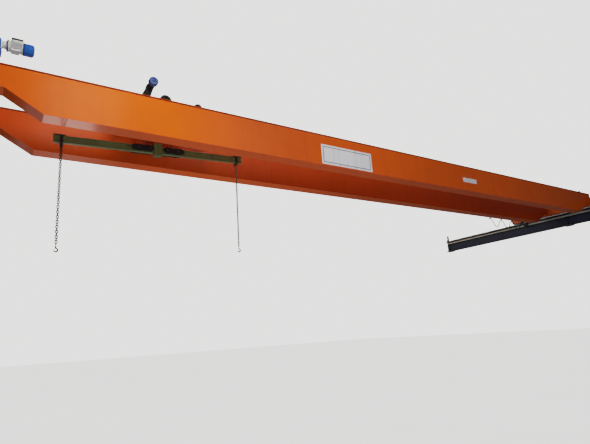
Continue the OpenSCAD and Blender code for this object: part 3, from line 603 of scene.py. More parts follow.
# %% Rails and clips
rail_top, beam_top, rail_reach, beam_reach = 0.55, 0.50, 5.88, 6
rail_half, rail_round, web_half, plate_half = 0.030, 0.008, 0.005, 0.006
arc = np.linspace(0, np.pi / 2, 5)
rail_side = np.stack([rail_half - rail_round + rail_round * np.cos(arc),
                      rail_top - rail_round + rail_round * np.sin(arc)], -1)
rail_section = np.concatenate([[(rail_half, beam_top)], rail_side, rail_side[::-1] * (-1, 1),
                               [(-rail_half, beam_top)]])
rail = carried(line((0, -rail_reach, 0), (0, rail_reach, 0), 13), rail_section, (1, 0, 0), (0, 0, 1))
piece("rounded_rails", both_rails([rail]), "runway", "rail_steel", ["runway_rails"])

clip_places = track(0, np.arange(-5.625, 5.7, 0.75), beam_top)
clips, clip_bolts, runway_welds = [], [], []
for side in (-1, 1):
    low, high = sorted((side * 0.031, side * 0.082))
    clips += scattered([slab((low, -0.03, 0), (high, 0.03, 0.012), 0.005, 0.003)], clip_places)
    clip_bolts += bolts(0.011, clip_places + (side * 0.062, 0, 0.012), **up)
    x, out = side * web_half, (side, 0, 0)
    for z, lift in ((0.036, 1), (0.484, -1)):
        seam = line((x, -beam_reach, z), (x, beam_reach, z), 9)
        runway_welds.append(fillet(seam, out, (0, 0, lift), 0.009))
    for plate_y in (-5.85, 0.0, 5.85):
        for y, face in ((plate_y - plate_half, -1), (plate_y + plate_half, 1)):
            runway_welds.append(fillet(line((x, y, 0.04), (x, y, 0.48)), out, (0, face, 0), 0.006))
        foot = line((side * 0.1, plate_y - 0.14, 0.02), (side * 0.1, plate_y + 0.14, 0.02))
        runway_welds.append(fillet(foot, out, (0, 0, 1), 0.008))
piece("rail_clips", both_rails(clips), "runway", "plate_grey")
piece("rail_clip_bolts", both_rails(clip_bolts), "runway", "bolt_steel")
piece("runway_welds", both_rails(runway_welds), "runway", "runway_navy")

# %% Conductor bar
bar_section = mm((0, 2), (2, 0), (38, 0), (40, 2), (40, 48), (38, 50), (2, 50), (0, 48),
                 (0, 33), (6, 33), (6, 42), (30, 42), (30, 8), (6, 8), (6, 17), (0, 17))
bar_path = line((19.905, -rail_reach, 0.38), (19.905, rail_reach, 0.38), 5)
shell = carried(bar_path, bar_section, (1, 0, 0), (0, 0, 1))
piece("conductor_shell", [shell], "runway", "shell_cream", ["conductor_bar"])
strip = slab((19.922, -rail_reach, 0.390), (19.934, rail_reach, 0.420), 0.002, 0.001, along=1)
piece("conductor_strip", [strip], "runway", "strip_copper")

bracket_y = (np.arange(-3, 5) - 0.5) * 1.5
saddle = [slab((19.9015, -0.032, 0.430), (19.949, 0.032, 0.436), 0.003, 0.001),
          slab((19.945, -0.032, 0.374), (19.951, 0.032, 0.436), 0.002, 0.001, along=0),
          slab((19.912, -0.032, 0.374), (19.951, 0.032, 0.380), 0.003, 0.001)]
piece("conductor_saddles", scattered(saddle, [(0, y, 0) for y in bracket_y]), "runway",
      "fitting_black")
heads = bolts(0.008, [(19.972, y + dy, 0.438) for y in bracket_y for dy in (-0.012, 0.012)], **up)
piece("conductor_bolts", heads, "runway", "bolt_steel")

# %% [markdown]
# ## Wheels
# A crane wheel is turned from a forging: a flat tread between two flanges, a thin dished web
# and a thick hub. It is one closed profile turned round its axle. Six bolt heads on the web
# show that it turns.

# %% Wheels on their axles
axle_x, axle_y, axle_z = 0.11, 1.95, 0.6753
half_wheel = mm((-55, 30), (-55, 56), (-30, 64), (-20, 76), (-20, 92), (-44, 106), (-55, 110), (-55, 141),
                (-51, 145), (-41, 145), (-36, 136), (-35, 125.4), (-34, 125))
half_axle = mm((-110, 25), (-107, 30), (-58, 30), (-58, 34), (-55.5, 34))
wheel = [lathe(np.concatenate([half, half[::-1] * (-1, 1)]), sides, closed)
         for half, sides, closed in ((half_wheel, 64, True), (half_axle, 32, False))]
for face in (-1, 1):
    wheel += bolts(0.009, ring(face * 0.020, 0.084, 6), x=(face, 0, 0), y=(0, face, 0))
for name, y in (("near_bridge_wheels", -axle_y), ("far_bridge_wheels", axle_y)):
    wheels = both_rails(moved(wheel, (0, y, axle_z)))
    piece(f"turned_{name}", wheels, name, "wheel_steel", [name])

cap = [lathe(mm((0.2, 58), (7, 58), (9, 55), (10, 34), (13, 31), (13, 0.5)), 40)]
cap += bolts(0.009, ring(0.009, 0.046, 4, np.pi / 4))
caps = moved(cap, (-axle_x, -axle_y, axle_z), **left) + moved(cap, (-axle_x, axle_y, axle_z), **left)
caps += moved(cap, (axle_x, axle_y, axle_z))
piece("axle_caps", both_rails(caps), "bridge", "weld_orange")

# %% Buffers and carriage fittings
buffer_face = (0, 2.3, 0.75)
buffer_profile = mm((12, 50), (15, 55), (24, 55), (27, 49), (31, 49), (34, 55), (46, 55), (49, 49), (53, 49),
                    (56, 55), (74, 54), (84, 49), (90, 38), (92, 18))
plate = extruded(rounded_rectangle(0.072, 0.072, 0.010), mm((0, 2), (2, 0), (10, 0), (12, 2)))
corners = [(0.012, a, b) for a in (-0.056, 0.056) for b in (-0.056, 0.056)]
rubber = both_sides(moved([lathe(buffer_profile, 36)], buffer_face, **far))
steel = both_sides(moved([plate] + bolts(0.010, corners), buffer_face, **far))
piece("ribbed_buffers", both_rails(rubber), "bridge", "rubber_black", ["bridge_buffers"])
piece("buffer_plates", both_rails(steel), "bridge", "weld_orange")

carriage_low, carriage_top = 0.58, 0.9
seams = []
for x, out in ((-axle_x, -1), (axle_x, 1)):
    for z in (carriage_low + 0.010, carriage_top - 0.010):
        seams.append(butt_weld(line((x, -2.298, z), (x, 2.298, z), 5), (0, 0, 1), (out, 0, 0), 0.012, 0.002))
piece("carriage_welds", both_rails(seams), "bridge", "weld_orange")
hatch = [slab((-0.075, -0.16, 0.9), (0.075, 0.16, 0.906), 0.02, 0.002)]
hatch += bolts(0.008, [(x, y, 0.906) for x in (-0.06, 0.06) for y in (-0.14, 0.0, 0.14)], **up)
hatches = moved(hatch, (0, -1.45, 0)) + moved(hatch, (0, 1.45, 0))
piece("carriage_hatches", both_rails(hatches), "bridge", "crab_orange")

# %% [markdown]
# ## Drives
# A geared brake motor is three parts bolted in a row. The gearbox is a tapered outline
# pushed along its axle with a step at the joint of its two halves. The motor is a ring of
# thin fins: its radius jumps between the root and the tip as it goes round. The fan cowl
# is a pressed drum with a domed rim and a wire guard over its end.

# %% Motor, cowl and gearbox shapes
def finned_barrel(root, tip, fins, start, end):
    """A barrel whose radius steps between root and tip as it goes round, with chamfered ends."""
    share = (np.arange(4 * fins) % 4) / 4
    within = np.where(share < 0.5, share * 0.9, 0.52 + (share - 0.5) * 1.7)
    turn = (np.arange(4 * fins) // 4 + within) * 2 * np.pi / fins
    radius = np.roll(np.where(share < 0.5, root, tip), 1)
    outline = np.stack([radius * np.cos(turn), radius * np.sin(turn)], -1)
    return extruded(outline, [(start, 0.0015), (start + 0.003, 0), (end - 0.003, 0), (end, 0.0015)])


def motor(d, length, neck):
    """Neck, flange, finned body, end shields and terminal box, along x from the gearbox's face."""
    r, back = d / 2, neck + length
    box_low, box_high = (neck + 0.050, -0.31 * d, 0.40 * d), (back - 0.012, 0.31 * d, 0.5 * d + 0.024)
    shapes = [lathe([(0, 0.76 * r), (0.006, 0.76 * r), (0.012, 0.66 * r), (neck * 0.72, 0.66 * r),
                     (neck - 0.004, 0.92 * r), (neck, 1.06 * r), (neck + 0.012, 1.06 * r),
                     (neck + 0.014, 1.03 * r)], 48),
              lathe([(neck + 0.012, 0.99 * r), (neck + 0.030, 0.99 * r), (neck + 0.034, 0.94 * r)], 48),
              finned_barrel(0.85 * r, 0.99 * r, 36, neck + 0.030, back - 0.022),
              lathe([(back - 0.026, 0.94 * r), (back - 0.020, r), (back - 0.001, r), (back, 0.97 * r)], 48),
              slab(box_low, box_high, 0.010, 0.002)]
    shapes += bolts(0.008, ring(neck, 0.93 * r, 4, np.pi / 4), x=(-1, 0, 0), y=(0, -1, 0))
    gland = lathe(mm((0, 14), (12, 14), (14, 11), (26, 10), (28, 6)), 16)
    shapes += moved([gland], (neck + 0.08, 0.31 * d, 0.5 * d + 0.002), **far)
    foot = slab((neck + 0.05, -0.36 * d, -r - 0.001), (back - 0.05, -0.26 * d, -0.60 * r), 0.004, 0.002)
    return shapes + both_sides([foot])


def motor_trim(d, length, neck):
    """The terminal box's deep lid with a screw in each corner, and a dark ring at each end of the motor."""
    back, top, r = neck + length, 0.5 * d + 0.043, d / 2
    shapes = [slab((neck + 0.045, -0.33 * d, top - 0.030), (back - 0.007, 0.33 * d, top), 0.010, 0.003)]
    spots = [(x, y, top) for x in (neck + 0.057, back - 0.019) for y in (-0.28 * d, 0.28 * d)]
    shapes += scattered([lathe(mm((0, 4.5), (2, 4.5), (3, 3)), 10)], spots, **up)
    for x, wide, high in ((neck - 0.001, 0.012, 1.065 * r), (back - 0.006, 0.014, 1.115 * r)):
        shapes.append(lathe([(x, 0.98 * r), (x, high - 0.001), (x + 0.001, high), (x + wide - 0.001, high),
                             (x + wide, high - 0.001), (x + wide, 0.98 * r)], 48, closed=True))
    return shapes


def cowl(d, length):
    """A pressed drum open at its end: out along the outside, over the rim and back in to a recessed floor."""
    r = d / 2
    rim = mm((-30, 0), (-18, -5), (-8, -16), (-2, -29), (0, -36), (-2, -41), (-10, -43)) + (length, r)
    shapes = [lathe([(0, r - 0.004), (0, r - 0.001), (0.004, r), *rim, (length - 0.012, 0.004)], 56)]
    for place in ring(0.016, r - 0.001, 4, np.pi / 4):
        out = place * (0, 1, 1) / (r - 0.001)
        screw = lathe(mm((0, 6), (3, 6), (4, 4)), 10)
        shapes += moved([screw], place, x=out, y=(1, 0, 0), z=np.cross(out, (1, 0, 0)))
    return shapes


def guard(x, radii, hub, edge, wire):
    """Wire rings and eight spokes from a hub radius to an edge radius, over a cowl's opening."""
    shapes = [tube(ring(x, radius, 40), wire, 6, reference=(1, 0, 0), closed=True) for radius in radii]
    for out in ring(0, 1, 8):
        shapes.append(tube(line(out * hub, out * edge) + (x - 0.002, 0, 0), wire, 6, reference=(1, 0, 0)))
    return shapes


def cowl_guard(d, length):
    """The guard of a pressed cowl, standing a little inside its rim."""
    reach = d / 2 - 0.040
    return guard(length - 0.005, np.linspace(reach, 0.010, 5), 0.008, reach + 0.002, 0.0014)


def two_circle_outline(r_low, r_high, rise, steps=20):
    """The outline round two circles, one above the other: half of each, joined by straight sides."""
    upper, lower = np.linspace(0, np.pi, steps), np.linspace(np.pi, 2 * np.pi, steps)
    return np.concatenate([np.stack([r_high * np.cos(upper), rise + r_high * np.sin(upper)], -1),
                           np.stack([r_low * np.cos(lower), r_low * np.sin(lower)], -1)])


def gearbox(r_low, r_high, rise, length):
    """Two half housings with a bolted rim between them: the lower axis at zero, the upper one at rise."""
    outline = two_circle_outline(r_low - 0.008, r_high - 0.008, rise)
    rim = two_circle_outline(r_low, r_high, rise)
    joint = 0.52 * length
    shapes = [extruded(outline, [(0.004, 0.004), (0.008, 0), (length - 0.016, 0), (length - 0.008, 0.004),
                                 (length - 0.003, 0.012), (length - 0.002, 0.030)]),
              extruded(rim, mm((-12, 2), (-10, 0), (-1, 0), (-0.5, 1.5), (0.5, 1.5), (1, 0), (10, 0), (12, 2))
                       + (joint, 0)),
              extruded(rim, mm((0, 2), (2, 0), (10, 0), (12, 2)))]
    for angle in np.radians((-150, -90, -30, 30, 90, 150)):
        centre_z, radius = (0, r_low - 0.010) if angle < 0 else (rise, r_high - 0.010)
        y, z = radius * np.cos(angle), centre_z + radius * np.sin(angle)
        shapes += scattered([lathe([(joint - 0.018, 0.013), (joint + 0.018, 0.013)], 14)], [(0, y, z)])
        shapes += bolts(0.008, [(joint + 0.018, y, z)])
    cover = lathe([(length - 0.003, 0.62 * r_low), (length + 0.004, 0.62 * r_low),
                   (length + 0.006, 0.58 * r_low), (length + 0.006, 0.30 * r_low),
                   (length + 0.012, 0.26 * r_low), (length + 0.012, 0.001)], 40)
    shapes += [cover] + bolts(0.007, ring(length + 0.006, 0.48 * r_low, 6))
    shapes += moved(bolts(0.010, (0, 0, 0)), (0.25 * length, 0, rise + r_high - 0.010), **up)
    for y in (0.006 - r_high, r_high - 0.006):
        shapes.append(slab((0.03, y - 0.003, 0.01), (length - 0.04, y + 0.003, rise - 0.01), 0.002, 0.001))
    return shapes


# %% Travel drives
drive_z, box_face, motor_face, cowl_face = 0.8103, 0.11, 0.315, 0.595
travel_box, travel_motor, travel_cowl = (0.105, 0.095, 0.135, 0.205), (0.165, 0.205, 0.075), (0.182, 0.145)
drive_pieces = {
    "cast_travel_gearboxes": (gearbox(*travel_box), box_face, axle_z, "drive_blue", "cast_blue"),
    "finned_travel_motors": (motor(*travel_motor), motor_face, drive_z, "motor_grey", "motor_grey"),
    "travel_motor_lids": (motor_trim(*travel_motor), motor_face, drive_z, "motor_black", "motor_black"),
    "pressed_travel_cowls": (cowl(*travel_cowl), cowl_face, drive_z, "drive_blue", "drive_blue"),
    "travel_motor_guards": (cowl_guard(*travel_cowl), cowl_face, drive_z, "motor_black", "fitting_black"),
}
drive_nodes = {"cast_travel_gearboxes": ["travel_gearboxes"], "finned_travel_motors": ["travel_motors"],
               "pressed_travel_cowls": ["travel_motor_cowls"]}
for name, (shapes, x, z, finish, material) in drive_pieces.items():
    drives = both_rails(moved(shapes, (x, -axle_y, z)))
    piece(name, drives, "bridge", material, drive_nodes.get(name, []))

# %% [markdown]
# ## Board, collector and cable
# The board and the small plate are bare sheets with rounded corners, screwed on near the
# edge. The collector's cable hangs in loops: between two clips each point is lowered by the
# loop's depth times half of one minus the cosine, which is level at the clips and lowest in
# the middle.

# %% Board and label
def sheet_with_screws(low, high, edge, across, down_edge):
    """A thin sheet facing -y, and apart from it rows of screws along its four edges."""
    x0, x1, z0, z1, y = low[0] + edge, high[0] - edge, low[2] + edge, high[2] - edge, low[1]
    spots = [(x, y, z) for x in np.linspace(x0, x1, across) for z in (z0, z1)]
    spots += [(x, y, z) for x in (x0, x1) for z in np.linspace(z0, z1, down_edge)[1:-1]]
    head = lathe(mm((0, 7), (1.5, 7), (3, 4.5), (3.5, 1)), 12)
    return [slab(low, high, 0.02, 0.001, along=1)], scattered([head], spots, **near)


def frame_strips(low, high, wide):
    """Four thin strips along the edges of an upright rectangle that faces -y."""
    (x0, y0, z0), (x1, y1, z1) = low, high
    bars = [(x0, z0, x1, z0 + wide), (x0, z1 - wide, x1, z1),
            (x0, z0, x0 + wide, z1), (x1 - wide, z0, x1, z1)]
    return [slab((a, y0, b), (c, y1, d), 0.001, 0.0003) for a, b, c, d in bars]


board, board_screws = sheet_with_screws((6.84, -0.986, 0.31), (8.44, -0.980, 0.81), 0.03, 7, 4)
label, label_screws = sheet_with_screws((12.125, -0.986, 0.545), (12.775, -0.980, 0.685), 0.018, 4, 2)
border = frame_strips((6.89, -0.9868, 0.36), (8.39, -0.9855, 0.76), 0.014)
piece("screwed_boards", board + label, "bridge", "board_white", ["name_boards"])
piece("board_screws", board_screws + label_screws, "bridge", "bolt_steel")
piece("board_border", border, "bridge", "runway_navy")

# %% Cable
clip_first, clip_step, clip_y, clip_z, loops, loop_drop, cable_radius = 16.3, 0.7, 1.027, 0.24, 3, 0.30, 0.013
around = np.arange(loops * 40) / 40
sag = loop_drop * (1 - np.cos(2 * np.pi * around)) / 2
looped = track(clip_first + around * clip_step, clip_y, clip_z - sag)
lead = np.array([(18.40, 1.027, 0.24), (18.52, 1.03, 0.222), (18.64, 1.048, 0.16), (18.78, 1.09, 0.095),
                 (18.94, 1.16, 0.055), (19.11, 1.25, 0.045), (19.28, 1.355, 0.075), (19.44, 1.465, 0.145),
                 (19.58, 1.565, 0.235), (19.70, 1.64, 0.33), (19.79, 1.682, 0.415), (19.845, 1.699, 0.455),
                 (19.872, 1.70, 0.46)])


def smoothed(points, between=5):
    """A curve through the points: a cubic for each stretch, whose ends point as their neighbours lie."""
    before = np.vstack([2 * points[:1] - points[1:2], points])
    after = np.vstack([points, 2 * points[-1:] - points[-2:-1]])
    p0, p1, p2, p3 = (p[:, None] for p in (before[:-2], points[:-1], points[1:], after[2:]))
    t = (np.arange(between) / between)[None, :, None]
    curve = 0.5 * (2 * p1 + (p2 - p0) * t + (2 * p0 - 5 * p1 + 4 * p2 - p3) * t ** 2
                   + (3 * p1 - p0 - 3 * p2 + p3) * t ** 3)
    return np.vstack([curve.reshape(-1, 3), points[-1:]])


cable_path = np.vstack([[(clip_first - 0.09, clip_y, clip_z)], looped, smoothed(lead)])
piece("looped_cable", [tube(cable_path, cable_radius, 12)], "bridge", "rubber_black",
      ["collector_cable"])
print("the cable is", round(float(np.linalg.norm(np.diff(cable_path, axis=0), axis=1).sum()), 2), "m long")

# %% Collector fittings
ribs = [(x + dx, r) for x in (0, 10, 20) for dx, r in ((0, 12), (3, 12), (5, 18), (8, 18))]
insulator = lathe(mm(*ribs, (30, 12), (34, 12), (34, 5)), 20)
fittings = []
for y in (1.635, 1.765):
    fittings += moved([insulator], (19.873, y, 0.412), **left)
shoe_block = slab((0, -0.045, -0.028), (0.05, 0.045, 0.028), 0.008, 0.004, along=0)
fittings += moved([shoe_block], (19.824, 1.70, 0.46))
plugs = [slab((19.828, y - 0.016, z - 0.02), (19.874, y + 0.016, z + 0.02), 0.006, 0.004, along=0)
         for y, z in ((1.672, 0.60), (1.728, 0.60), (1.70, 0.54))]
heads = bolts(0.010, [(19.875, y, z) for y in (1.675, 1.725) for z in (0.64, 0.68)], **left)
shoe = [slab((19.8905, 1.61, 0.392), (19.9046, 1.79, 0.416), 0.004, 0.002, along=1)]
screws = bolts(0.007, [(clip_first + k * clip_step + dx, 1.042, 0.262) for k in range(loops + 1)
                       for dx in (-0.011, 0.011)], **down)
piece("collector_insulators", fittings, "bridge", "rubber_black")
piece("collector_connectors", plugs, "bridge", "connector_white")
piece("collector_bolts", heads, "bridge", "bolt_steel")
piece("collector_shoe", shoe, "bridge", "strip_copper")
piece("clip_screws", screws, "bridge", "bolt_steel")

# %% [markdown]
# ## Crab
# The crab is a welded frame with the hoist in its middle: a gearbox that drives a drum on
# each side of it. The drums are grooved so that the rope lies in its place, and the groove
# is simply a ripple in the drum's radius. The rope's own turns are a helix on top of it.

# %% Crab wheels
crab_axle_z, driven_end, free_end = 1.1603, 0.815, 0.781
wheel_profile = mm((701, 20), (701, 34), (701, 38), (701, 46), (701, 66), (702, 72), (702, 90),
                   (704, 92), (710, 92), (713, 88), (714, 80.5), (716, 80), (764, 80), (768, 77),
                   (768, 66), (752, 62), (748, 46), (754, 38), (768, 34), (768, 20))


def crab_wheel(axle_end):
    """An overhung wheel with its lip on the inside and its axle. The local x points outwards."""
    axle = lathe([(0.600, 0.0195), (0.602, 0.020), (axle_end - 0.002, 0.020), (axle_end, 0.017)], 28)
    return [lathe(wheel_profile, 56, closed=True), axle] + bolts(0.007, ring(0.750, 0.054, 4, 0.4))


for name, x, near_end in (("left_crab_wheels", 2.767, driven_end), ("right_crab_wheels", 3.847, free_end)):
    axle = (x, 0, crab_axle_z)
    pair = moved(crab_wheel(near_end), axle, **near) + moved(crab_wheel(free_end), axle, **far)
    piece(f"turned_{name}", pair, name, "wheel_steel", [name])

# %% Cross travel drive
box_x, box_y, motor_y, cowl_y, lean_x, lean_z = 2.767, -0.785, -0.865, -1.025, 0.045, 0.170
motor_x, motor_z = box_x + lean_x, crab_axle_z + lean_z
lean = np.arctan2(lean_x, lean_z)
leaning = dict(x=(0, -1, 0), y=(np.cos(lean), 0, -np.sin(lean)), z=(np.sin(lean), 0, np.cos(lean)))
crab_motor, crab_cowl = (0.125, 0.140, 0.020), (0.175, 0.105)
crab_box = gearbox(0.062, 0.070, np.hypot(lean_x, lean_z), 0.080)
crab_box = moved(crab_box, (box_x, box_y, crab_axle_z), **leaning)
piece("cast_crab_gearbox", crab_box, "crab", "motor_black", ["crab_gearbox"])
barrel = moved(motor(*crab_motor) + motor_trim(*crab_motor), (motor_x, motor_y, motor_z), **near)
piece("finned_crab_motor", barrel, "crab", "motor_black", ["crab_motor"])
cowl_place = (motor_x, cowl_y, motor_z)
piece("pressed_crab_cowl", moved(cowl(*crab_cowl), cowl_place, **near), "crab", "dusty_blue",
      ["crab_motor_cowl"])
# The guard wires' pale bluish colour is partly painted highlight.
piece("crab_motor_guard", moved(cowl_guard(*crab_cowl), cowl_place, **near), "crab",
      "guard_steel_and_painted_highlight")

# %% Hoist gearbox and motor
hoist_x, drum_z, lid_z = 3.230, 1.25, 1.40
housing = [slab((-x, -y, low), (x, y, high), rounding, chamfer) for x, y, low, high, rounding, chamfer in (
    (0.098, 0.146, 1.13, 1.392, 0.018, 0.006), (0.100, 0.150, 1.13, 1.146, 0.012, 0.002),
    (0.100, 0.150, 1.262, 1.286, 0.020, 0.002), (0.080, 0.125, 1.39, lid_z, 0.020, 0.003))]
bearing = lathe(mm((0, 52), (4, 52), (5, 48), (5, 26)), 36)
for side in (-1, 1):
    low, high = sorted((side * 0.0975, side * 0.1045))
    housing += [slab((low, y - 0.006, 1.15), (high, y + 0.006, 1.26), 0.002, 0.001, along=0)
                for y in (-0.09, 0.0, 0.09)]
    housing += moved([bearing], (side * 0.0995, 0, drum_z), x=(side, 0, 0))
housing += bolts(0.009, [(x, y, 1.286) for x in (-0.088, 0.088) for y in (-0.13, -0.05, 0.05, 0.13)], **up)
housing += bolts(0.009, [(x, y, lid_z) for x in (-0.065, 0.065) for y in (-0.108, 0.0, 0.108)], **up)
housing += moved([lathe(mm((0, 16), (12, 16), (14, 12), (30, 12), (34, 4)), 16)], (0, 0.05, lid_z), **up)
piece("cast_hoist_gearbox", moved(housing, (hoist_x, 0, 0)), "crab", "motor_black",
      ["hoist_gearbox"])

hoist_motor_place = (hoist_x, -0.15, 1.28)
barrel = [lathe(mm((0, 118), (14, 118), (16, 112)), 56), finned_barrel(0.106, 0.119, 44, 0.014, 0.300),
          lathe(mm((296, 112), (300, 120), (392, 120), (412, 118), (430, 104), (438, 90), (440, 84),
                   (436, 80), (428, 78), (426, 4)), 56),
          slab((0.08, -0.07, 0.100), (0.22, 0.07, 0.136), 0.012, 0.003)]
piece("finned_hoist_motor", moved(barrel, hoist_motor_place, **near), "crab", "motor_black",
      ["hoist_motor"])
wires = guard(0.434, (0.020, 0.035, 0.050, 0.065, 0.078), 0.010, 0.081, 0.0015)
piece("hoist_motor_guard", moved(wires, hoist_motor_place, **near), "crab", "fitting_black")

# %% Drums
drum_from, drum_to, drum_radius, groove_pitch = 0.105, 0.703, 0.090, 0.010
groove_x = np.arange(drum_from + 0.012, drum_to - 0.012, groove_pitch / 4)
groove_radius = drum_radius - 0.0008 + 0.0010 * np.cos(2 * np.pi * groove_x / groove_pitch)
first_end = mm((-1, 25), (0, 100), (0, 112), (2, 114), (10, 114), (12, 112)) + (drum_from, 0)
last_end = mm((-12, 112), (-10, 114), (-2, 114), (0, 112), (0, 60), (-6, 56), (-6, 30), (0, 27),
              (1, 25)) + (drum_to, 0)
grooves = np.stack([groove_x + 0.0005, groove_radius], -1)
drum_profile = np.concatenate([[(0.062, 0.025)], first_end, grooves, last_end, mm((763, 25), (765, 23))])
drum = [lathe(drum_profile, 48)] + bolts(0.009, ring(drum_to, 0.085, 6))
drums = moved(drum, (hoist_x, 0, drum_z)) + moved(drum, (hoist_x, 0, drum_z), x=(-1, 0, 0))
piece("grooved_drums", drums, "rope_drums", "drum_steel", ["rope_drums"])

rope_radius, rope_y, rope_turns = 0.004, 0.0943, 9
turns = np.linspace(0, rope_turns, rope_turns * 24 + 1)
angle = np.pi - 2 * np.pi * turns
coils = []
for side in (-1, 1):
    for start, out in ((0.2503, -1), (0.4803, 1)):
        x = hoist_x + side * (start + out * turns * groove_pitch)
        coil = track(x, rope_y * np.cos(angle), drum_z + rope_y * np.sin(angle))
        coils.append(tube(coil, rope_radius, 8, (1, 0, 0)))
piece("drum_rope", coils, "rope_drums", "rope_steel")

# %% [markdown]
# ## Ropes and sheaves
# Six strands are twisted round each other, so the rope's section is a ring with six humps
# that turn as it goes up. The same section serves for every straight fall. Each fall runs
# from the crab down to the beam.

# %% Straight falls
tilt = np.radians(2.5)
lift_z, fall, upper_z, anchor_z, sheave_x = 0.373, 0.0703, 1.015, 1.010, (0.180, 0.410)
strands, lay, step, swell = 6, 0.056, 0.007, 0.09


def stranded(x, y, low, high):
    """A rope from low to high: its radius has a hump for each strand, and they turn once in each lay."""
    heights = np.linspace(low, high, int((high - low) / step) + 2)[:, None]
    angle = np.linspace(0, 2 * np.pi, 4 * strands, endpoint=False)[None, :]
    humps = np.abs(np.cos(strands / 2 * (angle - 2 * np.pi * heights / lay)))
    radius = rope_radius * (0.93 + swell * humps)
    return surface(track(x + radius * np.cos(angle), y + radius * np.sin(angle), heights))


falls, bights, bends, anchors = [], [], [], []
half_turn, over = np.linspace(np.pi, 2 * np.pi, 25), np.linspace(0, np.pi, 25)
socket = lathe(mm((0, 6), (4, 9), (45, 13), (60, 13), (62, 10)), 16)
for side in (-1, 1):
    for x in sheave_x:
        centre, foot = hoist_x + side * x, lift_z + side * x * np.tan(tilt)
        inner, outer = centre - side * fall, centre + side * fall
        falls += [stranded(inner, -rope_y, foot, upper_z), stranded(inner, rope_y, foot, upper_z),
                  stranded(outer, -rope_y, foot, drum_z), stranded(outer, rope_y, foot, 1.07)]
        for y in (-rope_y, rope_y):
            arc = track(centre + fall * np.cos(half_turn), y, foot + fall * np.sin(half_turn))
            bights.append(tube(arc, rope_radius, 10, (0, 1, 0)))
        arc = track(inner, rope_y * np.cos(over), upper_z + rope_y * np.sin(over))
        bends.append(tube(arc, rope_radius, 10, (1, 0, 0)))
        anchors += moved([socket], (outer, rope_y, anchor_z), **up)
ropes = piece("stranded_falls", falls, "crab", "rope_steel", ["hoist_ropes"], ride=False)
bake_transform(ropes)
piece("rope_bights", bights, "lifting_beam", "rope_steel")
piece("rope_bends", bends, "crab", "rope_steel")
piece("rope_anchors", anchors, "crab", "bolt_steel")

# %% Sheaves
beam_x, beam_z = np.array([np.cos(tilt), 0, np.sin(tilt)]), np.array([-np.sin(tilt), 0, np.cos(tilt)])
hung = dict(origin=(hoist_x, 0, lift_z), x=beam_x, y=(0, 1, 0), z=beam_z)
groove_round, pin_radius = 0.0043, 0.0151


def sheave(tread):
    """A grooved wheel along x: rims, a round groove, a thin web and a thick hub, as one closed profile."""
    around = np.linspace(0, np.pi, 9)
    dip = np.stack([-np.cos(around), 1 - np.sin(around)], -1) * groove_round + (0, tread)
    hub = [(-0.015, pin_radius), (-0.015, 0.026), (-0.011, 0.030), (-0.006, 0.034)]
    rim = mm((-6, -16), (-13, -10), (-15, -6), (-15, 4), (-13, 6), (-6, 6)) + (0, tread)
    half = np.concatenate([hub, rim])
    return lathe(np.concatenate([half, dip, half[::-1] * (-1, 1)]), 48, closed=True)


upper_pin = [lathe(mm((-42, 13), (-40, 15), (40, 15), (42, 13)), 24),
             lathe(mm((27.5, 21), (33, 21), (34, 19)), 6),
             lathe(mm((-34, 19), (-33, 21), (-27.5, 21)), 24)]
nut = [lathe(mm((0, 23), (3, 23)), 20), lathe(mm((3, 21), (8, 21), (9.5, 18)), 6)]
spacer = lathe(mm((-22.5, 10), (22.5, 10)), 16)
upper, pins, lower, nuts, spacers = [], [], [], [], []
for side in (-1, 1):
    for x in sheave_x:
        place = (hoist_x + side * (x - fall), 0, upper_z)
        upper += moved([sheave(0.090)], place)
        pins += moved(upper_pin, place)
        x = side * x / np.cos(tilt)
        for y in (-rope_y, rope_y):
            lower += moved([sheave(0.066)], (x, y, 0), **far)
        for face, way in near_and_far:
            nuts += moved(nut, (x, face * 0.1173, 0), **way)
    spots = [(side * 0.295, y, z) for y in (-rope_y, rope_y) for z in (-0.044, 0.044)]
    spacers += scattered([spacer], spots, **far)
piece("grooved_upper_sheaves", upper, "crab", "drum_steel", ["upper_sheaves"])
piece("upper_sheave_pins", pins, "crab", "bolt_steel")
piece("grooved_lower_sheaves", moved(lower, **hung), "lifting_beam", "sheave_steel",
      ["lower_sheaves"])
piece("cheek_nuts", moved(nuts + spacers, **hung), "lifting_beam", "chain_steel")

# %% [markdown]
# ## Lifting beam, chains and hooks
# The beam's middle bracket and hangers are bolted or welded on, so they get beads and
# bolts. A chain link is a round bar bent to a long ring: two straight sides and two half
# circles. Every second link is turned a quarter. The hooks are forged, so their bar swells
# where it carries most and thins towards the tip.

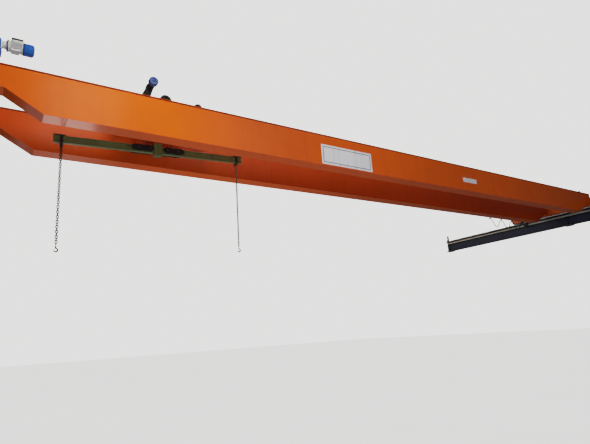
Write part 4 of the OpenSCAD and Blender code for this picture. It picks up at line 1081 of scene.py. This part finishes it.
# %% Beam details
hole_x, web_edge, flange_edge, beam_half = 1.83 / np.cos(tilt), 0.004, 0.038, 0.061
stiffener_x = np.array([0.62, 1.22, 1.70, 1.955])
beam_details, heads = [], []
for side in (-1, 1):
    for y in (-1, 1):
        seam = line((side * 0.082, y * web_edge, beam_half), (side * 1.965, y * web_edge, beam_half), 6)
        beam_details.append(fillet(seam, (0, y, 0), (0, 0, -1), 0.006))
        beam_details.append(fillet(seam * (1, 1, -1), (0, y, 0), (0, 0, 1), 0.006))
        low, high = sorted((y * web_edge, y * flange_edge))
        for x in side * stiffener_x:
            plate_low, plate_high = (x - 0.004, low, -beam_half), (x + 0.004, high, beam_half)
            beam_details.append(slab(plate_low, plate_high, 0.002, 0.001, along=0))
    for z, lift in ((-0.07, -1), (0.07, 1)):
        seam = line((side * 0.082, -flange_edge, z), (side * 0.082, flange_edge, z))
        beam_details.append(fillet(seam, (side, 0, 0), (0, 0, lift), 0.007))
    for face, way in near_and_far:
        heads += bolts(0.010, [(side * hole_x + dx, face * 0.052, z) for dx in (-0.014, 0.014)
                               for z in (-0.084, 0.078)], **way)
        pin_head = lathe(mm((0, 14), (3, 14), (4, 12)), 18)
        heads += moved([pin_head], (side * hole_x, face * 0.0522, -0.11), **way)
for low, high, seat, way in ((0.135, 0.143, 0.143, up), (-0.123, -0.115, -0.123, down)):
    beam_details.append(slab((-0.088, -0.066, low), (0.088, 0.066, high), 0.008, 0.002))
    heads += bolts(0.012, [(x, y, seat) for x in (-0.055, 0.055) for y in (-0.045, 0.045)], **way)
piece("beam_details", moved(beam_details, **hung), "lifting_beam", "beam_green")
piece("beam_bolts", moved(heads, **hung), "lifting_beam", "bolt_steel")

# %% Chains
pin_drop, seat_rise, gap, reach, bend = 0.11, 0.0083, 0.0003, 1.8963, np.linspace(0, np.pi, 8)


def pin_place(side):
    """The hanger's pin, at its distance along the tilted beam and its drop below the beam's middle."""
    return np.array([hoist_x, 0, lift_z]) + side * hole_x * beam_x - pin_drop * beam_z


def chain(top, bar, link_count):
    """Links of a bar's thickness, each as long as fills the reach, the first one hung over the pin."""
    pitch = reach / link_count + gap
    radius, half = 1.2 * bar, pitch / 2 - 0.7 * bar
    bow = track(radius * np.cos(bend), 0, half + radius * np.sin(bend))
    link = tube(np.concatenate([bow, bow * (-1, 1, -1)]), bar / 2, 8, (0, 1, 0), closed=True)
    heights = top[2] + seat_rise - pitch / 2 - np.arange(link_count) * (pitch - gap)
    places = track(top[0], 0, heights)
    return scattered([link], places[::2]) + scattered([link], places[1::2], x=(0, 1, 0), y=(-1, 0, 0))


for name, side, bar, count, material in (("left", -1, 0.0155, 41, "dark_chain_steel"),
                                         ("right", 1, 0.013, 49, "new_chain_steel")):
    links = chain(pin_place(side), bar, count)
    piece(f"{name}_linked_chain", links, f"{name}_sling", material, [f"{name}_chain"])

# %% Hooks
eye_radius, eye_bar, bowl_radius, bowl_drop = 0.022, 0.007, 0.032, 0.112


def forged_hook():
    """Eye, shank and bowl. The bowl's bar is thickest at its back and thins towards the tip."""
    ring_path = ring(0, eye_radius, 36)
    eye = tube(ring_path, eye_bar - 0.0006 * ring_path[:, 2] / eye_radius, 14, (1, 0, 0), True)
    drop = np.linspace(0, 1, 8)[:-1]
    shank = track(0, 0, -0.026 - 0.054 * drop)
    share = np.linspace(0, 1, 46)
    angle = np.radians(90 - 272 * share)
    bowl = track(bowl_radius * np.cos(angle), 0, bowl_radius * np.sin(angle) - bowl_drop)
    swell = 0.0018 * np.sin(np.pi * np.clip(share * 1.35, 0, 1))
    bowl_bar = 0.0105 + swell - 0.0062 * np.clip((share - 0.72) / 0.28, 0, 1) ** 1.6
    collar = lathe(mm((-6, 10), (-4, 14.5), (4, 14.5), (6, 10)), 24)
    return [eye, tube(shank, 0.0085 + 0.005 * drop ** 2, 16), tube(bowl, bowl_bar, 16)] \
        + moved([collar], (0, 0, -0.072), **up)


for name, side in (("left", -1), ("right", 1)):
    x, _, z = pin_place(side)
    eye_z = z + seat_rise - reach - eye_radius + eye_bar
    hook = moved(forged_hook(), (x, 0, eye_z))
    piece(f"{name}_forged_hook", hook, f"{name}_sling", "hook_steel", [f"{name}_hook"])

# %% [markdown]
# ## Light and floor
# The hall is lit from the left, and the girders fall off to less than a quarter of that
# light at their right end. Lamps along the near side give that fall-off: two narrow keys for
# the bright left end and two wide ones for the rest. Three lamps near the floor light the
# soffits, and one behind the far web's plane stands for the light that the floor throws
# back. Two windows and the lamps behind and above also show as gloss on sloped plates. The
# floor and the sky are pale to the camera and dim as lights, so shaded sides keep their depth.

# %% Floor, lamps and sky
floor_z, floor_reach = -5.2, 70.0
corners = [(x * floor_reach, y * floor_reach, floor_z) for x, y in ((-1, -1), (1, -1), (1, 1), (-1, 1))]
floor_mesh = bpy.data.meshes.new("floor")
floor_mesh.from_pydata(corners, [], [(0, 1, 2, 3)])
floor_finish = bpy.data.materials.new("pale_floor")
floor_finish.use_nodes = True
nodes = Nodes(floor_finish.node_tree)
shader = floor_finish.node_tree.nodes["Principled BSDF"]
clouds = nodes.noise(nodes.add("TexCoord")["Object"], 0.8, 5.0)
tone = nodes.mixed(clouds, (0.30, 0.297, 0.29, 1), (0.34, 0.337, 0.33, 1))
by_camera = nodes.add("LightPath")["Is Camera Ray"]
nodes.join(nodes.mixed(by_camera, tone, (0.02, 0.02, 0.02, 1)), shader.inputs["Base Color"])
nodes.join(tone, shader.inputs["Emission Color"])
nodes.join(nodes.ranged(by_camera, 0.0, 1.0, 0.15, 4.3), shader.inputs["Emission Strength"])
shader.inputs["Roughness"].default_value = 0.8
shader.inputs["Specular IOR Level"].default_value = 0.1
floor_mesh.materials.append(floor_finish)
floor = bpy.data.objects.new("floor", floor_mesh)
scene.collection.objects.link(floor)


def lamp(name, place, target, size, watts, colour, height=None, spread=180.0, mirrored=False):
    """A soft lamp that faces a point, square unless it has a height, with a beam of spread degrees.

    It shows in gloss only if it is mirrored.
    """
    data = bpy.data.lights.new(name, "AREA")
    data.shape, data.size, data.size_y = "RECTANGLE", size, height or size
    data.energy, data.color, data.spread = watts, colour, np.radians(spread)
    lamp_object = bpy.data.objects.new(name, data)
    back = np.array(place, float) - np.array(target, float)
    back /= np.linalg.norm(back)
    side = np.cross((0, 0, 1), back)
    side /= np.linalg.norm(side)
    lamp_object.visible_camera = False
    lamp_object.visible_glossy = mirrored
    stand(lamp_object, side, np.cross(back, side), back, place)


lamp("left_key", (2.3, -5.5, 3.0), (2.3, -1.0, 0.6), 2.0, 80.0, (1.0, 1.04, 0.82), spread=84.0)
lamp("second_key", (7.2, -6.0, 3.0), (7.2, -1.0, 0.6), 2.0, 21.0, (1.0, 0.96, 0.88), spread=84.0)
lamp("middle_key", (9.0, -9.0, 3.3), (9.0, -1.0, 0.6), 5.0, 160.0, (1.0, 0.95, 0.88))
lamp("right_key", (13.3, -9.0, 0.6), (13.3, -1.0, 0.6), 5.0, 126.0, (1.0, 0.94, 0.86))
lamp("left_low", (2.0, -7.0, -4.0), (2.3, 0.0, 0.5), 2.6, 175.0, (1.0, 1.0, 0.93))
lamp("middle_low", (8.0, -5.0, -4.5), (8.0, 0.0, 0.5), 5.0, 30.0, (1.0, 0.97, 0.93))
lamp("right_low", (15.0, -5.0, -4.5), (15.0, 0.0, 0.5), 5.0, 10.0, (1.0, 0.97, 0.93))
lamp("far_window", (2.5, 8.0, -3.8), (1.4, -0.8, 0.3), 1.8, 38.0, (1.0, 0.96, 0.93), 0.9, mirrored=True)
lamp("end_window", (-1.5, 4.6, -1.0), (0.7, -0.8, 0.45), 2.2, 9.0, (0.9, 0.95, 1.0), mirrored=True)
lamp("floor_bounce", (5.0, 1.8, -4.5), (5.0, -0.8, 0.3), 2.6, 74.0, (1.0, 0.86, 0.72))
lamp("behind", (9.0, 12.0, 5.0), (9.0, 1.0, 0.8), 8.0, 640.0, (1.0, 0.98, 0.95), mirrored=True)
lamp("above", (9.0, 3.5, 9.0), (9.0, 0.5, 1.0), 9.0, 520.0, (1.0, 0.98, 0.95), mirrored=True)

sky = bpy.data.worlds.new("pale_sky")
scene.world = sky
sky.use_nodes = True
nodes = Nodes(sky.node_tree)
seen = nodes.add("Background", {"Color": (0.80, 0.80, 0.79, 1), "Strength": 2.2})[0]
felt = nodes.add("Background", {"Color": (0.95, 0.97, 1.0, 1), "Strength": 0.05})[0]
both = nodes.add("MixShader", {0: nodes.add("LightPath")["Is Camera Ray"], 1: felt, 2: seen})[0]
nodes.join(both, sky.node_tree.nodes["World Output"].inputs["Surface"])
print(len(bpy.data.lights), "lamps, a pale sky and a floor at", floor_z, "m")

# %% [markdown]
# ## Pieces and faces
# The pieces and their faces are counted.

# %% Sizes
print(len(piece_faces), "pieces with", sum(piece_faces.values()), "faces")
